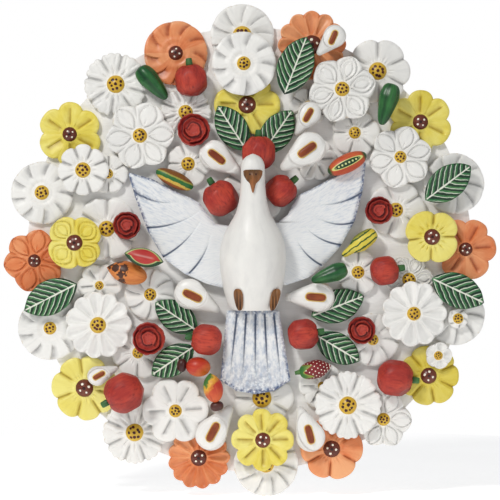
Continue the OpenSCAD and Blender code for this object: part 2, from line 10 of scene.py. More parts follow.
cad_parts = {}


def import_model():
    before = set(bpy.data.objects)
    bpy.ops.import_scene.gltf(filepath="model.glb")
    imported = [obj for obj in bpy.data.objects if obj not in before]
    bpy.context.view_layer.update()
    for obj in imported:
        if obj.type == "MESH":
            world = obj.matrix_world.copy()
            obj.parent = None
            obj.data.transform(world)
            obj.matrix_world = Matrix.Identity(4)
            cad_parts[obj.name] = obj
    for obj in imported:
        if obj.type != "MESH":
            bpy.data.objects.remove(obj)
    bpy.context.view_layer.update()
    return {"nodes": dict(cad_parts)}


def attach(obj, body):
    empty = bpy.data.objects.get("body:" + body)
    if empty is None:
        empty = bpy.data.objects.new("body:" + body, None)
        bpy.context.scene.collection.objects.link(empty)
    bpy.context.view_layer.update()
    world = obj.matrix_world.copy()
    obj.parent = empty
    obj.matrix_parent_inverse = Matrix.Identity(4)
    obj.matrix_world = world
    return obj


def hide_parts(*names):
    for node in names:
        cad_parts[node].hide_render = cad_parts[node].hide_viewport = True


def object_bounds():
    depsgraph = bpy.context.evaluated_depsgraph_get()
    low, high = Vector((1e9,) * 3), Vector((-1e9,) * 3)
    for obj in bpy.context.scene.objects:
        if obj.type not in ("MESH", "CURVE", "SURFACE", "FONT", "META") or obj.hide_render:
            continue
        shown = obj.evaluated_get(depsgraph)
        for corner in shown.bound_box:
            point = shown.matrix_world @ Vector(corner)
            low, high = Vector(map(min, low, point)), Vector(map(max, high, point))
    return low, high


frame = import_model()

MM = 0.001
PI = math.pi
FLOWER_T = 9.0
# Keeps a carved piece just inside its CAD solid
SNUG = 0.985
rng = np.random.default_rng(7)
scene = bpy.context.scene


# ---------------------------------------------------------------- plan of the frame
def plan(points):
    """World metres to plan millimetres: X right, Y up, height out of the board."""
    p = np.asarray(points, float) / MM
    return np.stack([p[:, 0], p[:, 2], -p[:, 1]], 1)


def world(points):
    """Plan millimetres to world metres."""
    p = np.asarray(points, float) * MM
    return np.stack([p[:, 0], -p[:, 2], p[:, 1]], 1)


class Part:
    """One separate solid of a CAD node, in plan millimetres."""

    def __init__(self, node, points, faces):
        self.node = node
        self.points = points
        self.low, self.high = points.min(0), points.max(0)
        self.mid = (self.low + self.high) / 2
        self.seat, self.tall = self.low[2], self.high[2] - self.low[2]
        self.size = self.high - self.low
        self.radius = max(self.size[0], self.size[1]) / 2
        self.at = (self.mid[0], self.mid[1], self.seat)
        self.tree = BVHTree.FromPolygons(points.tolist(), faces)

    def outline(self, centre, angles, height):
        """Distance from a centre to the outer edge of the solid at each angle."""
        far = 2.5 * self.radius + 20
        out = []
        for a in angles:
            way = Vector((math.cos(a), math.sin(a), 0))
            start = Vector((centre[0], centre[1], height)) + way * far
            hit = self.tree.ray_cast(start, -way)[3]
            out.append(far - hit if hit is not None else np.nan)
        out = np.array(out)
        bad = np.isnan(out)
        if bad.any() and not bad.all():
            good = np.flatnonzero(~bad)
            out[bad] = np.interp(np.flatnonzero(bad), good, out[good], period=len(out))
        return out


def parts(node):
    """The separate solids of a CAD node."""
    mesh = frame["nodes"][node].data
    co = plan([v.co for v in mesh.vertices])
    ids, index, seen = np.zeros(len(co), int), {}, []
    for i, c in enumerate(np.round(co, 2)):
        key = tuple(c)
        if key not in index:
            index[key] = len(seen)
            seen.append(co[i])
        ids[i] = index[key]
    owner = list(range(len(seen)))

    def root(a):
        while owner[a] != a:
            owner[a] = owner[owner[a]]
            a = owner[a]
        return a

    polys = [[int(ids[v]) for v in p.vertices] for p in mesh.polygons]
    for p in polys:
        for v in p[1:]:
            owner[root(v)] = root(p[0])
    groups = {}
    for p in polys:
        groups.setdefault(root(p[0]), []).append(p)
    found = []
    seen = np.array(seen)
    for group in groups.values():
        used = sorted({v for p in group for v in p})
        where = {v: i for i, v in enumerate(used)}
        pts = seen[used]
        if np.ptp(pts, axis=0)[:2].max() > 3:
            found.append(Part(node, pts, [[where[v] for v in p] for p in group]))
    return found


def nearest(found, x, y):
    """The solid whose middle is nearest to a place in the plan."""
    return min(found, key=lambda p: math.hypot(p.mid[0] - x, p.mid[1] - y))


def turned(points, degrees):
    """Points turned in the plan."""
    a = math.radians(degrees)
    c, s = math.cos(a), math.sin(a)
    p = np.array(points, float)
    x, y = p[..., 0].copy(), p[..., 1].copy()
    p[..., 0], p[..., 1] = c * x - s * y, s * x + c * y
    return p


def unit(x):
    """Kept between 0 and 1."""
    return np.clip(x, 0, 1)


def circle(n):
    """n angles round a full turn."""
    return np.arange(n) * 2 * PI / n


def polar(rho, theta, height):
    """Points at a distance, an angle and a height."""
    return np.stack(np.broadcast_arrays(rho * np.cos(theta), rho * np.sin(theta), height), -1)


def shares(low, high, count, *more):
    """Shares of the way out from a centre, as a column, with a few more near the rim."""
    return np.concatenate([np.linspace(low, high, count), more])[:, None]


def wall(rim, theta, top, steps):
    """Rings below an edge: each step is a share of the rim and a share of the height."""
    return [polar(rim * share, theta, top * low)[None] for share, low in steps]


def rounding(us, start, depth):
    """How far the top drops towards its edge, from a share of the way out."""
    return np.where(us > start, ((us - start) / (1 - start)) ** 2, 0) * depth


# ---------------------------------------------------------------- meshes
class Shape:
    """Grids and caps gathered into one mesh, with per-vertex values for the paint."""

    def __init__(self):
        self.points, self.faces, self.paint, self.values = [], [], [], {}
        self.count = 0

    def add(self, points, faces, paint=0, **values):
        points = np.asarray(points, float)
        n = len(points)
        self.points.append(points)
        self.faces += [[i + self.count for i in f] for f in faces]
        self.paint += [paint] * len(faces)
        for key in set(self.values) | set(values):
            if key not in self.values:
                width = np.asarray(values[key]).shape[1:]
                self.values[key] = [np.zeros((self.count,) + width)]
            rows = self.values[key]
            rows.append(np.asarray(values[key], float) if key in values
                        else np.zeros((n,) + rows[0].shape[1:]))
        self.count += n

    def grid(self, rings, start, end, paint=0, **values):
        """A closed skin: rings of points from a start point to an end point."""
        rings = np.asarray(rings, float)
        k, n = rings.shape[:2]
        points = np.concatenate([[start], rings.reshape(-1, 3), [end]])
        faces = []
        for j in range(n):
            faces.append([0, 1 + j, 1 + (j + 1) % n])
        for i in range(k - 1):
            a = 1 + i * n
            for j in range(n):
                b = (j + 1) % n
                faces.append([a + j, a + n + j, a + n + b, a + b])
        last = 1 + (k - 1) * n
        for j in range(n):
            faces.append([last + j, k * n + 1, last + (j + 1) % n])
        p = points
        tri = np.array([[f[0], f[1], f[2]] for f in faces])
        if np.einsum("ij,ij->i", p[tri[:, 0]], np.cross(p[tri[:, 1]], p[tri[:, 2]])).sum() < 0:
            faces = [f[::-1] for f in faces]
        flat = {}
        for key, v in values.items():
            v = np.asarray(v, float)
            v = v.reshape((k * n,) + v.shape[2:])
            flat[key] = np.concatenate([v[:1], v, v[-1:]])
        self.add(points, faces, paint, **flat)

    def build(self, name, node, paints, slot, at=(0, 0, 0), body="root", sharp=40):
        mesh = bpy.data.meshes.new(name)
        pts = world(np.concatenate(self.points) + np.asarray(at, float))
        mesh.from_pydata(pts.tolist(), [], self.faces)
        for p in paints:
            mesh.materials.append(p)
        mesh.polygons.foreach_set("material_index", self.paint)
        mesh.polygons.foreach_set("use_smooth", [True] * len(mesh.polygons))
        for key, rows in self.values.items():
            v = np.concatenate(rows)
            if v.ndim == 1:
                mesh.attributes.new(key, "FLOAT", "POINT").data.foreach_set("value", v)
            else:
                mesh.attributes.new(key, "FLOAT_VECTOR", "POINT").data.foreach_set("vector", v.ravel())
        mesh.update()
        mesh.set_sharp_from_angle(angle=math.radians(sharp))
        obj = bpy.data.objects.new(name, mesh)
        scene.collection.objects.link(obj)
        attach(obj, body)
        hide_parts(node)
        return obj


def slab(top, below, height, way=0, middle=(0, 0), **values):
    """A flat-backed piece: its top's rings and its wall's rings, turned; the wall takes the rim's values."""
    shape = Shape()
    x, y = middle
    held = {key: np.concatenate([v] + [v[-1:]] * len(below)) for key, v in values.items()}
    shape.grid(turned(np.concatenate([top] + below), way), (x, y, height), (x, y, 0), **held)
    return shape


def vee(d, width, depth):
    """A V cut along a line."""
    return depth * unit(1 - np.abs(d) / width)


def lean_vee(d, steep, soft, depth):
    """A V cut with one steep and one soft side."""
    return depth * np.where(d < 0, unit(1 + d / steep), unit(1 - d / soft))


def window(x, a, b, soft=0.06):
    """1 between a and b, fading over soft."""
    return unit((x - a) / soft) * unit((b - x) / soft)


def wobble(theta, size, waves=(2, 3, 5, 7)):
    """A hand-cut irregularity round an outline."""
    return size * sum(math.sin(rng.uniform(0, 7)) * np.sin(w * theta + rng.uniform(0, 7)) for w in waves) / 2


def jitter(theta, n, turn, size):
    """One random value per petal, held over the petal."""
    k = np.floor((theta - turn) / (2 * PI / n) + 0.5).astype(int) % n
    return rng.uniform(-size, size, n)[k]


def blobs(shape, spots, paint):
    """Small raised drops of paint: each spot is a point, a normal and a radius."""
    m = 10
    for p, normal, r in spots:
        nrm = Vector(normal).normalized()
        a = nrm.orthogonal().normalized()
        b = nrm.cross(a)
        p = Vector(p)
        rings = []
        wob = rng.uniform(0.82, 1.12, m)
        for share, lift in ((0.55, 0.26), (1.0, 0.06), (1.0, -0.3)):
            rings.append([tuple(p + (a * math.cos(2 * PI * j / m) + b * math.sin(2 * PI * j / m))
                                * r * share * wob[j] + nrm * lift) for j in range(m)])
        shape.grid(rings, tuple(p + nrm * 0.32), tuple(p - nrm * 0.3), paint)


# ---------------------------------------------------------------- paint
def rgb(r, g, b):
    """A colour on a 0-255 screen scale to Blender's linear colour."""
    out = []
    for c in (r, g, b):
        c /= 255
        out.append(c / 12.92 if c <= 0.04045 else ((c + 0.055) / 1.055) ** 2.4)
    return tuple(out) + (1.0,)


class Paint:
    """A shader built step by step; every helper returns an output socket."""

    def __init__(self, name):
        self.mat = bpy.data.materials.new(name)
        self.mat.use_nodes = True
        self.tree = self.mat.node_tree
        self.shader = self.tree.nodes["Principled BSDF"]
        self.place = self.make("ShaderNodeTexCoord").outputs["Object"]

    def make(self, kind, **settings):
        node = self.tree.nodes.new(kind)
        for key, value in settings.items():
            setattr(node, key, value)
        return node

    def put(self, socket, value):
        """Links or sets an input; three numbers are a colour on the 0-255 scale."""
        if isinstance(value, bpy.types.NodeSocket):
            self.tree.links.new(value, socket)
        else:
            socket.default_value = rgb(*value) if isinstance(value, tuple) and len(value) == 3 else value

    def math(self, op, a, b=0.0):
        node = self.make("ShaderNodeMath", operation=op)
        self.put(node.inputs[0], a)
        self.put(node.inputs[1], b)
        return node.outputs[0]

    def times(self, a, b):
        return self.math("MULTIPLY", a, b)

    def plus(self, a, b):
        return self.math("ADD", a, b)

    def minus(self, a, b):
        return self.math("SUBTRACT", a, b)

    def mix(self, share, a, b):
        node = self.make("ShaderNodeMix", data_type="RGBA")
        self.put(node.inputs[0], share)
        self.put(node.inputs[6], a)
        self.put(node.inputs[7], b)
        return node.outputs[2]

    def noise(self, scale, detail=3.0, place=None, rough=0.55, stretch=None):
        node = self.make("ShaderNodeTexNoise")
        place = place or self.place
        if stretch:
            turn = self.make("ShaderNodeMapping")
            turn.inputs["Scale"].default_value = stretch
            self.put(turn.inputs["Vector"], place)
            place = turn.outputs[0]
        self.put(node.inputs["Vector"], place)
        node.inputs["Scale"].default_value = scale
        node.inputs["Detail"].default_value = detail
        node.inputs["Roughness"].default_value = rough
        return node.outputs["Fac"]

    def span(self, value, low, high, to_low=0.0, to_high=1.0):
        node = self.make("ShaderNodeMapRange")
        self.put(node.inputs[0], value)
        for i, v in enumerate((low, high, to_low, to_high)):
            node.inputs[i + 1].default_value = v
        return node.outputs[0]

    def attribute(self, name, kind="Fac"):
        node = self.make("ShaderNodeAttribute", attribute_name=name)
        return node.outputs[kind]

    def split(self, vector):
        node = self.make("ShaderNodeSeparateXYZ")
        self.put(node.inputs[0], vector)
        return node.outputs

    def finish(self, colour, rough=0.45, bump=0.25, streak=None, relief=None, metal=0.0):
        """Roughness and bump that follow the brush, then the shader's sockets."""
        patch = self.noise(55, 3)
        fine = self.noise(900, 3)
        self.put(self.shader.inputs["Base Color"], colour)
        self.put(self.shader.inputs["Roughness"],
                 self.plus(self.span(patch, 0.3, 0.7, rough - 0.08, rough + 0.1),
                           self.span(fine, 0.3, 0.7, -0.03, 0.03)))
        self.shader.inputs["Metallic"].default_value = metal
        self.shader.inputs["Specular IOR Level"].default_value = 0.4
        height = self.times(fine, 0.12)
        if streak is not None:
            height = self.plus(height, self.times(streak, 0.5))
        height = self.plus(height, self.times(self.noise(120, 2), 0.9))
        if relief is not None:
            height = self.plus(height, relief)
        node = self.make("ShaderNodeBump")
        node.inputs["Strength"].default_value = bump
        node.inputs["Distance"].default_value = 0.0009
        self.put(node.inputs["Height"], height)
        self.put(self.shader.inputs["Normal"], node.outputs[0])
        return self.mat

    def brushed(self, base, dark, light, amount=0.5):
        """Base colour broken up by patches and by brush streaks that follow the piece."""
        flow = self.attribute("flow", "Vector")
        streak = self.noise(1.0, 3, flow, 0.6)
        patch = self.noise(38, 3)
        colour = self.mix(self.span(patch, 0.42, 0.72, 0, amount), base, light)
        colour = self.mix(self.span(streak, 0.52, 0.75, 0, amount), colour, dark)
        colour = self.mix(self.span(streak, 0.48, 0.25, 0, amount * 0.6), colour, light)
        return colour, streak


def petal_paint(name, base, dark, light, hollow, halo, rough=0.42):
    """Flower paint: painted shade in the cuts, pale round the centre, rubbed thin at the rim."""
    p = Paint(name)
    colour, streak = p.brushed(base, dark, light, 0.55)
    tone = p.attribute("tone")
    colour = p.mix(p.span(tone, 0, 1.2, 0, 0.8), colour, light)
    colour = p.mix(p.span(tone, 0, -1.2, 0, 0.8), colour, dark)
    # The hollow colour darkens the cuts by their depth: painted shade in the grooves.
    cut = p.times(p.attribute("hollow"), p.span(p.noise(160, 3), 0.3, 0.6, 0.7, 1.0))
    colour = p.mix(p.span(cut, 0.15, 0.95, 0, 0.85), colour, hollow)
    ring = p.plus(p.attribute("halo"), p.span(p.noise(260, 3), 0.3, 0.7, -0.25, 0.25))
    colour = p.mix(p.span(ring, 0.4, 0.6), colour, halo)
    worn = p.times(p.attribute("edge"), p.span(p.noise(210, 4), 0.56, 0.66))
    colour = p.mix(p.times(worn, 0.5), colour, (206, 188, 158))
    return p.finish(colour, rough, 0.3, streak=streak)


def plain_paint(name, base, dark, light, rough=0.45, amount=0.6, hollow=None, worn=(200, 178, 140)):
    """One brushed colour: painted shade in the cuts, lighter where a piece marks it, rubbed thin at the
    edges.
    """
    p = Paint(name)
    colour, streak = p.brushed(base, dark, light, amount)
    # Painted shade: darker where a piece marks its cuts, creases and shaded side.
    cut = p.times(p.attribute("hollow"), p.span(p.noise(200, 3), 0.3, 0.6, 0.7, 1.0))
    colour = p.mix(p.span(cut, 0.1, 0.9, 0, 0.9), colour, hollow or dark)
    # Lighter where a piece marks it: painted highlight on the rose's raised rows and the pepper's lobes, a
    # paler painted rim on the spadix.
    lit = p.attribute("light")
    colour = p.mix(p.span(lit, 0.0, 1.0, 0, 0.9), colour, light)
    rub = p.times(p.attribute("edge"), p.span(p.noise(230, 4), 0.58, 0.68))
    colour = p.mix(p.times(rub, 0.4), colour, worn)
    return p.finish(colour, rough, 0.3, streak=streak)


WHITE_HALO = (236, 233, 222)
# Each flower paint: base, dark, light, the painted shade for its cuts, and the halo round its centre.
PETAL = {
    "w": petal_paint("white_petals", (231, 230, 226), (214, 214, 212), (242, 241, 237), (154, 153, 152),
                     (240, 238, 230)),
    "y": petal_paint("yellow_petals", (224, 206, 80), (198, 176, 54), (238, 230, 142), (158, 128, 36),
                     WHITE_HALO),
    "o": petal_paint("orange_petals", (220, 128, 78), (198, 104, 58), (240, 178, 128), (150, 70, 38),
                     WHITE_HALO),
}
PETAL_SLOT = {"w": "white_paint", "y": "yellow_paint", "o": "orange_paint"}
ochre = plain_paint("ochre_centres", (208, 166, 44), (180, 132, 32), (224, 192, 80), 0.36)
brown = plain_paint("brown_centres", (92, 40, 30), (58, 24, 18), (136, 74, 52), 0.26)
maroon = plain_paint("maroon_dots", (54, 18, 20), (26, 10, 14), (112, 40, 30), 0.35)
cream_dots = plain_paint("cream_dots", (240, 234, 214), (222, 210, 180), (250, 248, 238), 0.4)
dark_dots = plain_paint("dark_dots", (44, 14, 12), (26, 10, 10), (70, 26, 20), 0.35)
# For tomato, rose, pepper and foot paint the last colour is the painted shade in their cuts, creases and
# shaded side.
tomato_red = plain_paint("tomato_red", (160, 44, 36), (122, 30, 29), (196, 72, 50), 0.5, 0.9, (84, 18, 20))
rose_red = plain_paint("rose_red", (156, 44, 42), (118, 28, 30), (198, 84, 66), 0.42, 0.85, (74, 16, 20))
pepper_green = plain_paint("pepper_green", (26, 84, 42), (14, 52, 32), (64, 124, 64), 0.33, 0.7, (12, 42, 26))
stem_green = plain_paint("stem_green", (46, 96, 50), (28, 64, 36), (96, 136, 66), 0.45)
spadix_brown = plain_paint("spadix_brown", (122, 52, 24), (84, 34, 18), (160, 80, 34), 0.4)
nut_brown = plain_paint("nut_brown", (58, 26, 26), (34, 16, 16), (92, 48, 40), 0.36)
dove_white = plain_paint("dove_white", (228, 227, 223), (214, 213, 210), (238, 237, 232), 0.4, 0.6,
                         (190, 192, 196))
foot_brown = plain_paint("foot_brown", (112, 72, 38), (74, 44, 26), (156, 106, 60), 0.4, 0.8, (44, 24, 18))
beak_brown = plain_paint("beak_brown", (98, 66, 36), (64, 42, 26), (164, 104, 60), 0.34, 0.8, (48, 28, 18))


# ---------------------------------------------------------------- flowers
centre_parts = [(c, "y") for c in parts("yellow_centres")] + [(c, "b") for c in parts("brown_centres")]


def carve(style, n, r, rr, theta, turn, ring_r):
    """Top of a flower: how deep each point is cut below the full thickness."""
    step = 2 * PI / n
    a = (theta - turn) / step
    d = (a - np.floor(a + 0.5)) * step
    s, t = rr * np.cos(d), rr * np.sin(d)
    gap = rr * np.sin(step / 2 - np.abs(d))
    u = rr / r
    ax = np.abs(d / (step / 2))
    if style == "toothed":
        cut = vee(gap, 0.085 * r, 3.4) * unit((u - 0.26) * 4)
        cut = np.maximum(cut, vee(t, 0.055 * r, 2.3) * window(u, 0.24, 0.62, 0.14))
        cut = np.maximum(cut, vee(gap - 0.17 * r, 0.04 * r, 1.1) * window(u, 0.6, 1.1, 0.1))
        return cut + 0.5 * ax ** 2
    if style == "lobed":
        cut = lean_vee(t, 0.06 * r, 0.24 * r, 3.4) * window(u, 0.2, 0.9, 0.14)
        cut = np.maximum(cut, vee(gap, 0.06 * r, 1.2) * unit((u - 0.62) * 3))
        return cut + 0.6 * ax ** 3
    if style == "smooth":
        cut = vee(gap, 0.085 * r, 3.3) * unit((u - 0.24) * 4)
        for off in (-0.2, 0.06, 0.3):
            reach = window(u, 0.22, 0.55 - abs(off) * 0.4, 0.16)
            cut = np.maximum(cut, vee(rr * np.sin(d - off * step), 0.045 * r, 1.9) * reach)
        return cut + 0.7 * ax ** 2.5 * unit(u * 1.4 - 0.4)
    if style == "puffy":
        cut = vee(gap, 0.075 * r, 3.6) * unit((u - 0.3) * 4)
        cut = np.maximum(cut, vee(t, 0.05 * r, 1.7) * window(u, 0.28, 0.56, 0.1))
        return cut + 1.5 * ax ** 2 * unit(u * 1.5 - 0.4)
    if style in ("jasmine", "nested", "almond_cross"):
        cut = vee(gap, 0.06 * r, 2.2) * unit((u - 0.35) * 3.5)
        wide = {"jasmine": 0.20, "nested": 0.22, "almond_cross": 0.31}[style]
        for k, (s0, s1) in enumerate(((0.24, 0.965), (0.36, 0.82))):
            if k and style == "jasmine":
                continue
            along = unit((s / r - s0) / (s1 - s0))
            a_w = (wide if not k else wide * 0.5) * r * 4.2 * along ** 1.05 * (1 - along) ** 0.95
            inside = (along > 0) & (along < 1)
            almond = lean_vee(np.abs(t) - a_w, 0.03 * r, 0.085 * r, 2.6 - 0.5 * k)
            cut = np.maximum(cut, np.where(inside, almond, 0))
        if style == "jasmine":
            cut = np.maximum(cut, vee(t, 0.03 * r, 1.4) * window(u, 0.3, 0.52, 0.1))
        return cut + 0.4 * ax ** 2
    if style == "cross":
        cut = vee(gap, 0.08 * r, 3.2) * unit((u - 0.25) * 4)
        for off in (-0.42, 0, 0.42):
            side = rr * np.sin(d - off)
            cut = np.maximum(cut, vee(side, 0.05 * r, 2.3) * window(u, 0.25, 0.64 - 0.1 * abs(off), 0.16))
        return cut + 0.6 * ax ** 3
    if style == "daisy":
        along = unit((u - 0.22) / 0.74)
        wide = 0.82 * (step / 2) * unit(1.06 - np.abs(2 * along - 1) ** 3.2) ** 0.5
        lean = np.clip(d / np.maximum(wide, 0.01), -1, 1)
        spoon = unit(1 - lean ** 2) * (1 + 0.45 * lean)
        cut = 3.0 * spoon * unit(along * 5) * unit((1 - along) * 8)
        return np.maximum(cut, vee(gap, 0.035 * r, 2.6) * unit((u - 0.72) * 5))
    twist = {"disc": 0.3, "ring": 0.25, "pinwheel": 0.55}[style]
    phase = (a + twist * u ** 2) % 1
    first = 0.30 if style == "disc" else (ring_r + 2) / r
    slope = unit(1 - phase / 0.62) ** 1.1
    cut = 3.6 * slope * unit((u - first) * 7) * unit(phase * 14)
    cut = cut * (1 - 0.35 * unit((u - 0.85) * 6))
    if style != "disc":
        cut = cut + 1.1 * window(u, 0.2, (ring_r - 1.4) / r, 0.05)
        cut = cut + 0.55 * window(u, (ring_r + 1.2) / r, 1.4, 0.05)
    return cut


def edge_of(style, x):
    """Outline of the petals for an outer radius of 1; x runs -1..1 over each petal."""
    ax = np.abs(x)
    if style == "toothed":
        return 1 - 0.07 * ax ** 4 - 0.055 * (1 - np.abs(np.cos(1.5 * PI * x))) ** 1.3
    if style == "lobed":
        return 1 - 0.17 * ax ** 2.6
    if style == "smooth":
        return 1 - 0.12 * ax ** 2.8
    if style == "puffy":
        return 1 - 0.13 * ax ** 2.6
    if style in ("jasmine", "nested"):
        return 1 - 0.16 * ax ** 1.5
    if style in ("cross", "almond_cross"):
        return 1 - 0.19 * ax ** 3
    if style == "daisy":
        return 1 - 0.10 * ax ** 1.8
    return 1 - 0.012 * ax ** 2


# Flowers whose paint is paler (+) or deeper (-), and the change from their foot to their top
TONES = {"orange_daisy_2": (-0.1, 0.8), "yellow_cosmos_1": (0.75, 0.0), "yellow_cosmos_2": (-0.75, 0.2),
         "yellow_lobed_4": (0.3, 0.2), "orange_lobed_1": (0.3, -0.6), "orange_jasmine": (-0.5, 0.0),
         "orange_daisy_1": (0.35, 0.2), "orange_pinwheel": (0.1, 0.5), "yellow_cross_2": (0.45, 0.2)}


def flower(name, part, style, n, turn, colour, tone=0.5, level=22):
    """A carved flower with n petals; its cuts, rim and tone differ a little from petal to petal."""
    r = part.radius * 0.992
    turn = math.radians(turn)
    around = n * max(1, round(168 / n))
    plain = circle(around) + turn
    warp = 0.3 / n * (np.sin(plain + rng.uniform(0, 6)) + np.sin(2 * plain + rng.uniform(0, 6)))
    theta = plain + warp
    near = [c for c, _ in centre_parts
            if math.hypot(c.mid[0] - part.mid[0], c.mid[1] - part.mid[1]) < 4
            and abs(c.seat - part.seat - FLOWER_T) < 1]
    c_r = near[0].radius if near else 0
    step = 2 * PI / n
    d = ((plain - turn) / step - np.floor((plain - turn) / step + 0.5)) * step
    rim = r * edge_of(style, d / (step / 2))
    rim = rim * (1 - np.abs(wobble(plain, 0.010)) - np.abs(jitter(plain, n, turn, 0.022)))
    us = shares(0.1, 0.9, level, 0.94, 0.97, 0.99, 1.0)
    rr = us * rim
    th = np.broadcast_to(theta, rr.shape)
    cut = carve(style, n, r, rr, np.broadcast_to(plain, rr.shape), turn, 0.42 * r)
    safe = max(c_r + 0.6, 0.12 * r)
    cut = cut * unit((rr - safe) / (0.05 * r))
    # How deep each point is cut; the paint turns it into painted shade in the grooves.
    hollow = unit(cut / 4.2) ** 3 if style == "daisy" else unit(cut / 3.1) ** 2.2
    tilt = jitter(th, n, turn, 0.35) * unit(us - 0.3)
    lumpy = 0.25 * np.sin(3 * th + rng.uniform(0, 6)) * us
    top = FLOWER_T - 0.25
    h = top - cut - rounding(us, 0.9, 1.5) - np.abs(lumpy) - np.abs(tilt)
    shift, rise = TONES.get(part.node, (0, 0))
    shape = slab(
        polar(rr, th, h), wall(rim, theta, h[-1], ((1.0, 0.62), (0.993, 0.2), (0.985, 0.0))), top,
        hollow=hollow * 0.9,
        halo=unit((c_r + 1.6 - rr) / 1.6 + 0.5) * (colour == "w" and c_r > 0),
        edge=unit((rr / rim - 0.93) / 0.06),
        tone=jitter(th, n, turn, tone) + shift + rise * rr / r * np.sin(th),
        flow=polar(5.5, th, rr * 0.05) + rng.uniform(0, 50),
    )
    shape.build(name, part.node, [PETAL[colour]], PETAL_SLOT[colour], part.at, sharp=32)


# Node, style, petals, turn, colour
NAMED = [
    ("white_cosmos_1", "toothed", 8, 10, "w"), ("yellow_lobed_1", "lobed", 6, 30, "y"),
    ("orange_pinwheel", "pinwheel", 9, 0, "o"), ("white_disc_1", "disc", 9, 10, "w"),
    ("yellow_lobed_2", "lobed", 6, 0, "y"), ("orange_daisy_1", "daisy", 12, 0, "o"),
    ("white_lobed_1", "smooth", 6, 0, "w"), ("yellow_lobed_3", "lobed", 6, 30, "y"),
    ("white_ring_1", "ring", 9, 0, "w"), ("orange_jasmine", "jasmine", 6, 15, "o"),
    ("white_ring_2", "ring", 9, 0, "w"), ("yellow_cosmos_1", "smooth", 7, 20, "y"),
    ("white_cosmos_2", "toothed", 8, 0, "w"), ("orange_daisy_2", "daisy", 13, 0, "o"),
    ("white_disc_2", "disc", 10, 0, "w"), ("orange_lobed_1", "smooth", 6, 0, "o"),
    ("orange_lobed_2", "lobed", 6, 0, "o"), ("yellow_cosmos_2", "smooth", 7, 0, "y"),
    ("white_jasmine_1", "jasmine", 6, 8, "w"), ("white_puffy", "puffy", 8, 0, "w"),
    ("white_ring_3", "ring", 9, 0, "w"), ("yellow_cross_1", "almond_cross", 4, 45, "y"),
    ("white_daisy_1", "daisy", 11, 0, "w"), ("white_star", "lobed", 6, 0, "w"),
    ("yellow_lobed_4", "lobed", 8, 0, "y"), ("white_cosmos_3", "toothed", 8, 0, "w"),
    ("white_daisy_2", "daisy", 11, 0, "w"), ("white_jasmine_2", "jasmine", 6, 15, "w"),
    ("white_jasmine_3", "nested", 6, 13, "w"), ("yellow_cross_2", "cross", 4, 45, "y"),
]
# Grouped flowers: rough place in the plan, style, petals, turn
BACK_ROW = [
    (-78, 167, "toothed", 8, 0), (-75, 104, "smooth", 5, 0), (72, 174, "smooth", 6, 0),
    (80, 109, "lobed", 6, 0), (128, 142, "smooth", 5, 0), (249, 80, "disc", 9, 0),
    (-172, 92, "smooth", 6, 0), (-174, 25, "smooth", 6, 0), (-183, -44, "lobed", 6, 0),
    (-121, -55, "disc", 8, 0), (-136, -126, "smooth", 6, 0), (15, -181, "smooth", 5, 0),
    (88, -166, "lobed", 6, 0), (194, -37, "nested", 6, 0), (132, -28, "smooth", 6, 0),
    (178, 48, "smooth", 5, 0), (250, -80, "disc", 9, 0), (163, -207, "jasmine", 6, 0),
    (150, -110, "disc", 8, 0), (6, 71, "smooth", 6, 0),
]
SMALL = [(229, -129, "daisy", 5, 0), (253, -84, "disc", 5, 0)]
for node, style, n, turn, colour in NAMED:
    flower(node + "_petals", parts(node)[0], style, n, turn, colour)
for node, rows in (("back_row_flowers", BACK_ROW), ("small_white_discs", SMALL)):
    found = parts(node)
    for i, (x, y, style, n, turn) in enumerate(rows):
        flower(f"{node}_{i + 1:02d}", nearest(found, x, y), style, n, turn, "w", 0.3, 18)


# ---------------------------------------------------------------- round centres
def dome(name, part, kind):
    """A low round centre with raised dots: y is ochre, b is brown."""
    r, tall = part.radius * 0.99, part.tall
    theta = circle(40)
    rim = r * (1 - np.abs(wobble(theta, 0.03)))
    sphere = (r * r + tall * tall) / (2 * tall)

    def height(rho):
        return np.sqrt(np.maximum(sphere ** 2 - rho ** 2, 0)) - sphere + tall - 0.15

    rr = shares(0.12, 1, 12) * rim
    rings = np.concatenate([polar(rr, theta, np.maximum(height(rr), 0.0)), polar(rim, theta, -0.25)[None]])
    th = np.broadcast_to(theta, rings.shape[:2])
    shape = Shape()
    shape.grid(rings, (0, 0, height(0.0)), (0, 0, -0.25),
               flow=polar(3, th, rings[..., 2] * 0.1) + rng.uniform(0, 50))

    def spot(rho, a, size):
        x, y = rho * math.cos(a), rho * math.sin(a)
        z = float(height(rho))
        return (x, y, z), (x, y, z + sphere - tall), size

    spin = rng.uniform(0, 2 * PI)
    if kind == "y":
        count = 7 if r < 8.5 else 8
        spots = [spot(rng.uniform(0, 0.1) * r, spin, r * rng.uniform(0.17, 0.22))]
        for k in range(count):
            far = r * rng.uniform(0.48, 0.66)
            way = spin + 2 * PI * (k + rng.uniform(-0.2, 0.2)) / count
            spots.append(spot(far, way, r * rng.uniform(0.14, 0.21)))
        blobs(shape, spots, 1)
        paints, slot = [ochre, maroon], "ochre_paint"
    else:
        spots = [spot(0, 0, r * 0.2)]
        blobs(shape, spots, 2)
        blobs(shape, [spot(r * rng.uniform(0.48, 0.56), spin + PI / 2 * (k + rng.uniform(-0.12, 0.12)),
                           r * rng.uniform(0.12, 0.16)) for k in range(4)], 1)
        paints, slot = [brown, cream_dots, dark_dots], "brown_paint"
    shape.build(name, part.node, paints, slot, part.at, sharp=60)


for kind, label in (("y", "yellow_centre"), ("b", "brown_centre")):
    for i, part in enumerate([c for c, k in centre_parts if k == kind]):
        dome(f"{label}_{i + 1:02d}", part, kind)


